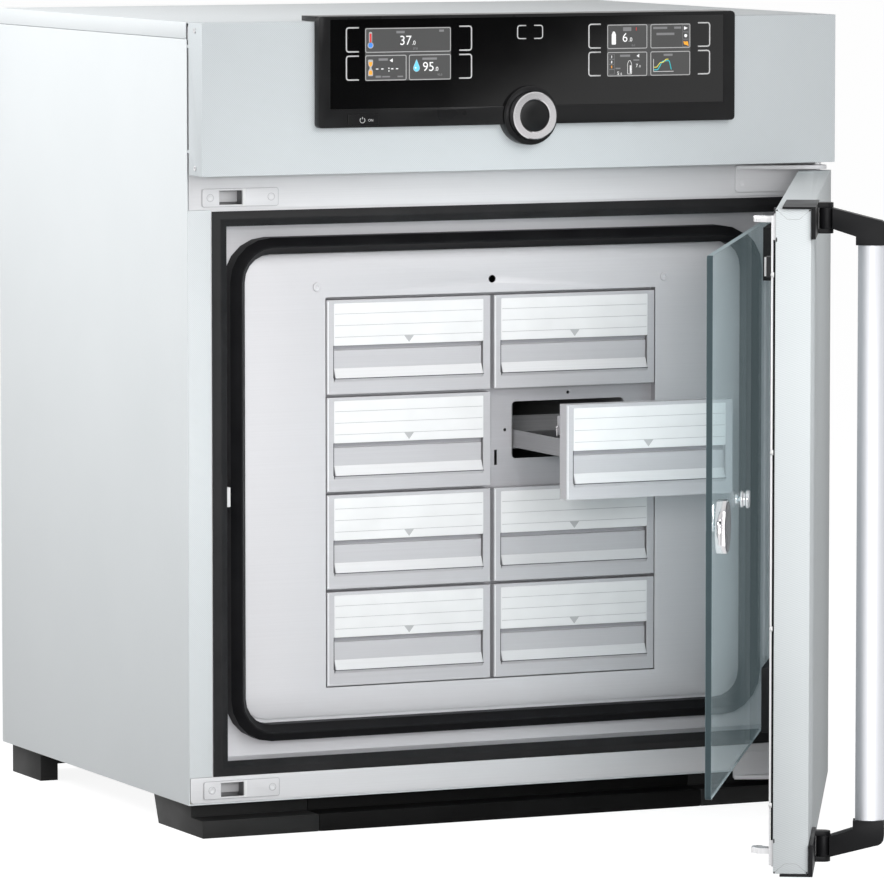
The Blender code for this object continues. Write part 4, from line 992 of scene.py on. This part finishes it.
def addScrews():
    s = screwPlaces
    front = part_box("drawer_front_frame")[0].y
    spots = [(x, front, s["frameLevel"]) for x in s["frame"]]
    spreadScrews("frameScrews", "panHead", spots, forwards, "plateSteel")
    for end, level in s["hingeLevels"].items():
        low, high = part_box(f"latch_plate_{end}")
        spots = [(x, low.y, (low.z + high.z) / 2) for x in s["latch"]]
        spreadScrews(f"latchScrews_{end}", "flushHead", spots, forwards, "faceSteel")
        spreadScrews(f"hingeScrews_{end}", "flushHead", [(*s["hinge"], level)], forwards,
                     "faceSteel")
    for name, corner, side in zip(("Left", "Right"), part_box("header_panel"), (-1, 1)):
        spots = [(corner.x, s["headerDepth"], z) for z in s["headerLevels"]]
        spreadScrews(f"headerScrews{name}", "smallHead", spots, (side, 0, 0), "faceSteel")
    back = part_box("back_panel")[1].y
    spots = [(x, back, z) for x in s["back"] for z in s["backLevels"]]
    spreadScrews("backScrews", "smallHead", spots, (0, 1, 0), "hookSteel")
    x, y = joints["outer_door_hinge"]["pos_m"][:2]
    spots = [(x, y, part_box("hinge_bracket_top")[1].z)]
    spreadScrews("hingeBolt", "hexHead", spots, (0, 0, 1), "hookSteel", 6)


addCarriage()
addScrews()
print("screws placed")


# the latch plates: their outlines and screw rings, darkened as painted shade along the seams, and the window the
# hook goes into, with a dark lining that is partly painted shade, a tongue, and a raised fold whose white is a
# painted highlight
latchSettings = inMetres({
    "middle": -311.8,
    "windowHalf": 12.7,
    "halfWidth": 15.4,
    "halfHeight": 9.9,
    "wallFront": 3.6,
    "wall": 0.25,
    "tongueFront": 18.4,
    "tongueBack": 20.4,
    "tongueHalf": 5.6,
    "tongueRounding": 0.3,
    "foldWidth": 3.4,
    "foldRise": 0.5,
    "foldRounding": 0.2,
    "ring": 3.7,
    "line": 0.45,
    "corner": 2.6,
})


def addLatchPlates():
    s = latchSettings
    seam = makeInkOrPaintedLight("plateSeam", (0.42, 0.42, 0.44))
    left = s["middle"] - s["halfWidth"]
    right = s["middle"] + s["halfWidth"]
    wall = s["wall"]
    front = s["wallFront"]
    back = s["tongueBack"]
    for end in ("top", "bottom"):
        node = f"latch_plate_{end}"
        low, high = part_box(node)
        level = (low.z + high.z) / 2
        below = level - s["halfHeight"]
        above = level + s["halfHeight"]
        # outline of the plate and rings round its screws: seams, drawn darker as painted shade
        lines = [drawLine(boxPoints(low.x, high.x, low.z, high.z), s["line"], low.y, s["corner"], True)]
        for x in screwPlaces["latch"]:
            lines.append(drawLine(roundPoints(x, level, s["ring"], count=28), s["line"], low.y, 0, True))
        settle(joinPieces(lines), f"latchPlateShadeLines_{end}", seam, "cabinet", None, 0)
        # a dark lining in the pocket: it hides the wool, and its darkness is painted shade inside the window
        walls = [addSlab(right - wall, right, front, back, below, above),
                 addSlab(left, left + wall, front, back, below, above),
                 addSlab(left, right, front, back, below, below + wall),
                 addSlab(left, right, front, back, above - wall, above),
                 addSlab(left, right, back, back + wall, below, above)]
        settle(joinPieces(walls), f"latchPocketPaintedShade_{end}", finishes["rackSteel"], "cabinet", None, 0)
        tongue = addSlab(left + wall, right - wall, s["tongueFront"], back,
                         level - s["tongueHalf"], level + s["tongueHalf"], s["tongueRounding"])
        settle(tongue, f"latchTongue_{end}", finishes["faceSteel"], "cabinet")
        # a raised fold right of the window, white as a painted highlight
        edge = s["middle"] + s["windowHalf"]
        fold = addSlab(edge, edge + s["foldWidth"], low.y - s["foldRise"], low.y,
                       low.z + wall, high.z - wall, s["foldRounding"])
        settle(fold, f"latchFoldHighlight_{end}", finishes["whitePlastic"], "cabinet")


addLatchPlates()
print("latch plates dressed")


# the outer door's free edge: fold seams, corner holes, slots, studs and the blocks at its hooks
doorEdgeSettings = inMetres({
    "edge": -355.5,
    "inside": -5.5,
    "top": 670.0,
    "bottom": 30.3,
    "seamDrops": (0.5, 9.9, 9.9, 0.5),
    "seamInsets": (0.6, 11.3, 22.5, 33.4),
    "seamWidth": 0.5,
    "seamCorner": 0.8,
    "seamProud": 0.06,
    "holeInsets": (1.3, 32.6),
    "holeDrop": 1.3,
    "holeRadius": 0.9,
    "holeProud": 0.05,
    "slots": (640.6, 62.1),
    "slotInset": 0.9,
    "slotHalves": (0.7, 2.4),
    "studs": (606.9, 436.5, 266.8, 96.1),
    "studSpot": (-351.6, -3.3),
    "studRadius": 2.5,
    "seal": (-349.7, -349.0, -5.4, -3.2, 62.0, 640.0, 0.15),
})


def addDoorEdge():
    s = doorEdgeSettings
    inside = -s["inside"]
    seams = []
    holes = []
    for level, way in ((s["top"], -1), (s["bottom"], 1)):
        seam = [(inside + inset, level + way * drop) for inset, drop in zip(s["seamInsets"], s["seamDrops"])]
        seams.append(drawLine(seam, s["seamWidth"], 0, s["seamCorner"], False, s["seamProud"]))
        for inset in s["holeInsets"]:
            hole = roundPoints(inside + inset, level + way * s["holeDrop"], s["holeRadius"], count=12)
            holes.append(drawPatch(hole, 0, s["holeProud"]))
    for level in s["slots"]:
        slot = roundPoints(inside + s["slotInset"], level, *s["slotHalves"], 14)
        holes.append(drawPatch(slot, 0, s["holeProud"]))
    # from the plane of the front onto the door's free edge
    place = Matrix.Translation((s["edge"], 0, 0)) @ Matrix.Rotation(-math.pi / 2, 4, "Z")
    for marks, name, ink, colour in ((seams, "doorEdgeSeams", "seamShade", (0.5, 0.52, 0.53)),
                                     (holes, "doorEdgeHoles", "holeShade", (0.02, 0.02, 0.022))):
        piece = joinPieces(marks)
        piece.data.transform(place)
        settle(piece, name, makeInkOrPaintedLight(ink, colour), "outer_door", doorOpen, 0)
    hangOnDoor(addSlab(*s["seal"]), "doorEdgeSeal", "rubber")

    # rubber studs on the inner edge strip, domes that are closed underneath
    cutShare = -0.2
    stud = addBall(s["studRadius"], 20)
    pickFaces(stud, lambda face: face.center.z < cutShare * s["studRadius"])
    bpy.ops.mesh.delete(type="FACE")
    bpy.ops.mesh.select_all(action="SELECT")
    bpy.ops.mesh.region_to_loop()
    bpy.ops.mesh.edge_face_add()
    bpy.ops.object.mode_set(mode="OBJECT")
    spots = [(*s["studSpot"], level) for level in s["studs"]]
    hangOnDoor(copiesOf(stud, spots, (0, 1, 0)), "doorStuds", "whitePlastic")


# blocks and a pad behind the door's hooks: sides, then low end, high end and reach of each block
hookSettings = inMetres({
    "block": (-315.4, -307.6, -5.4),
    "spans": ((641.8, 654.6, -2.4), (661.6, 668.6, -2.4),
              (602.0, 622.0, 4.6), (33.0, 41.0, -2.4),
              (55.6, 60.6, -2.4)),
    "blockDent": (1.2, 0.5),
    "pad": (-315.0, -308.0, 4.6, 6.6, 603.0, 621.0),
    "padDent": (1.5, 0.4),
    "rounding": 0.4,
})


def hangOnDoor(piece, name, material):
    settle(piece, name, finishes[material], "outer_door", doorOpen)


def addHookBlocks():
    s = hookSettings
    blocks = [addSlab(*s["block"], reach, low, high) for low, high, reach in s["spans"]]
    pad = addSlab(*s["pad"])
    for block in blocks:
        insetAndSink(block, lambda face: face.normal.x < -0.9, *s["blockDent"])
    insetAndSink(pad, lambda face: face.normal.y > 0.9, *s["padDent"])
    for piece in blocks + [pad]:
        roundEdges(piece, s["rounding"], 2, 40)
        applyModifiers(piece)
    hangOnDoor(joinPieces(blocks), "hookBlocks", "darkPlastic")
    hangOnDoor(pad, "hookPad", "whitePlastic")


addDoorEdge()
addHookBlocks()
print("door edge dressed")


# the glass door: its dark cut edges, and the cap on its latch knob
paneSettings = inMetres({
    "left": -306.0,
    "front": 8.0,
    "back": 14.0,
    "low": 87.0,
    "high": 618.5,
    "reach": 10.0,
    "inside": 0.3,
    "skin": 0.12,
    "corner": 4.0,
    "knob": (-255.0, -1.9, 350.0),
    "capRadius": 24.5,
    "capRise": 1.2,
})


def addPaneEdges():
    # a thin band round the free edge and its two corners, as deep as the cut edge of the glass
    s = paneSettings
    front = s["front"] + s["inside"]
    back = s["back"] - s["inside"]
    end = s["left"] + s["reach"]
    bands = []
    for grow in (0, s["skin"]):
        left = s["left"] - grow
        low = s["low"] - grow
        high = s["high"] + grow
        turn = [(end, high), (left, high), (left, low), (end, low)]
        bands.append(roundedPath(turn, s["corner"] + grow, False))
    band = drawPatch(bands[1] + bands[0][::-1], back, back - front)
    settle(band, "paneCutEdge", finishes["paneEdge"], "glass_door", glassOpen)
    side = s["left"] + s["corner"]
    strip = addSlab(side, -side, front, back, s["high"], s["high"] + s["skin"])
    settle(strip, "paneTopEdge", makeInkOrPaintedLight("paneTopShade", (0.36, 0.45, 0.48), 0.0, 0.4), "glass_door",
           glassOpen)


def addKnobCap():
    # the dark domed cap on the outside of the latch knob
    s = paneSettings
    rise = s["capRise"]
    rimShare, domeShare, roundShare = 0.25, 0.3, 0.5
    cap = addDisc(s["capRadius"], rise, 48)
    insetAndSink(cap, facesUp, s["capRadius"] * rimShare, -rise * domeShare)
    roundEdges(cap, rise * roundShare, 3, 40)
    applyModifiers(cap)
    settle(copiesOf(cap, [s["knob"]], forwards), "latchKnobCap", finishes["greyPlastic"], "latch_knob",
           glassOpen)


addKnobCap()
addPaneEdges()
print("glass door dressed")


# floor, light and camera
def whiteForTheCamera(tree, plain, seen, output):
    # the plain shader lights the object, and camera, mirrors and glass see the white one
    rays = addNode(tree, "LightPath", {})
    either = mathNode(tree, "MAXIMUM", rays["Is Camera Ray"], rays["Is Glossy Ray"])
    share = mathNode(tree, "MAXIMUM", either, rays["Is Transmission Ray"])
    mix = addNode(tree, "MixShader", {0: share, 1: plain, 2: seen})[0]
    tree.links.new(mix, tree.nodes[output].inputs["Surface"])


stageSettings = {
    "floorSize": 60,
    "floorColour": 0.2,
    "floorRoughness": 0.9,
    "floorGlow": 0.9,
    "floorSeen": 0.3,
    "skyLight": 0.3,
    "skySeen": 1.0,
}


def grey(level):
    return (level, level, level, 1)


def setStage():
    s = stageSettings
    deselectAll()
    bpy.ops.mesh.primitive_plane_add(size=s["floorSize"], location=(0, 0, 0))
    floor = bpy.context.object
    floor.name = "floor"
    made, shader = newMaterial("floorWhite", [s["floorColour"]] * 3, s["floorRoughness"], 0.0)
    tree = made.node_tree
    shade = addNode(tree, "BsdfDiffuse", {"Color": grey(s["floorSeen"])})[0]
    glow = addNode(tree, "Emission", {"Strength": s["floorGlow"]})[0]
    both = addNode(tree, "AddShader", {0: shade, 1: glow})[0]
    whiteForTheCamera(tree, shader.outputs[0], both, "Material Output")
    floor.data.materials.append(made)

    world = bpy.data.worlds.new("studio")
    bpy.context.scene.world = world
    world.use_nodes = True
    tree = world.node_tree
    skies = [addNode(tree, "Background", {"Color": grey(1), "Strength": s[name]})[0]
             for name in ("skyLight", "skySeen")]
    whiteForTheCamera(tree, *skies, "World Output")
    bpy.context.scene.view_settings.view_transform = "Standard"


# a dark card that only mirrors see, for the slanting dark part of the panel's glass
cardSettings = {
    "corner": (-0.056, 0.747),
    "slope": 25.0,
    "along": (-1.0, 0.3),
    "above": 0.6,
    "away": (0.633, -1.357, -0.058),
    "glassFront": -0.051,
}


def addCard():
    s = cardSettings
    tilt = math.radians(s["slope"])
    along = Vector((math.cos(tilt), math.sin(tilt)))
    above = Vector((-math.sin(tilt), math.cos(tilt)))
    corners = []
    for run, rise in boxPoints(*s["along"], 0, s["above"]):
        spot = Vector(s["corner"]) + along * run + above * rise
        corners.append(Vector((spot.x, s["glassFront"], spot.y)) + Vector(s["away"]))
    shape = bpy.data.meshes.new("darkCard")
    shape.from_pydata(corners, [], [(0, 1, 2, 3)])
    card = linkNew("darkCard", shape)
    shape.materials.append(newMaterial("cardBlack", (0.0, 0.0, 0.0), 0.5, 0.0, 0.0)[0])
    card.visible_camera = False
    card.visible_diffuse = False
    card.visible_transmission = False
    card.visible_shadow = False


lamps = {
    "keyLeft": {"place": (-1.6, 0.62, 1.5), "aim": (-0.36, 0.3, 0.75), "size": 1.0, "power": 27},
    "keyFront": {"place": (0.15, -2.5, 1.6), "aim": (0.05, 0, 0.6), "size": 1.6, "power": 31},
    "fillFront": {"place": (-0.8, -3.4, 0.7), "aim": (0, 0, 0.6), "size": 1.3, "power": 31},
    "insideBeam": {"place": (-1.3, -2.4, 0.8), "aim": (-0.04, 0.03, 0.38), "size": 0.5, "power": 92,
                   "cone": 19.0, "blend": 0.8},
}


def addLamps():
    for name, s in lamps.items():
        light = bpy.data.lights.new(name, "SPOT" if "cone" in s else "AREA")
        if "cone" in s:
            light.spot_size = math.radians(s["cone"])
            light.spot_blend = s["blend"]
            light.shadow_soft_size = s["size"] / 2
        else:
            light.size = s["size"]
        light.energy = s["power"]
        lamp = linkNew(name, light)
        lamp.location = s["place"]
        way = Vector(s["aim"]) - Vector(s["place"])
        lamp.rotation_euler = way.to_track_quat("-Z", "Y").to_euler()


cameraSettings = {
    "place": (-3.0128, -6.5075, 1.0578),
    "yaw": 24.293,
    "pitch": 5.268,
    "focalPixels": 6928.6,
    "frameWidth": 884.0,
    "sensor": 36.0,
}


def addCamera():
    s = cameraSettings
    data = bpy.data.cameras.new("photoView")
    data.sensor_width = s["sensor"]
    data.lens = s["focalPixels"] * s["sensor"] / s["frameWidth"]
    camera = linkNew("photoView", data)
    camera.location = s["place"]
    camera.rotation_euler = (math.radians(90 - s["pitch"]), 0, math.radians(-s["yaw"]))
    bpy.context.scene.camera = camera


setStage()
addCard()
addLamps()
addCamera()
print("stage, lamps and camera set")
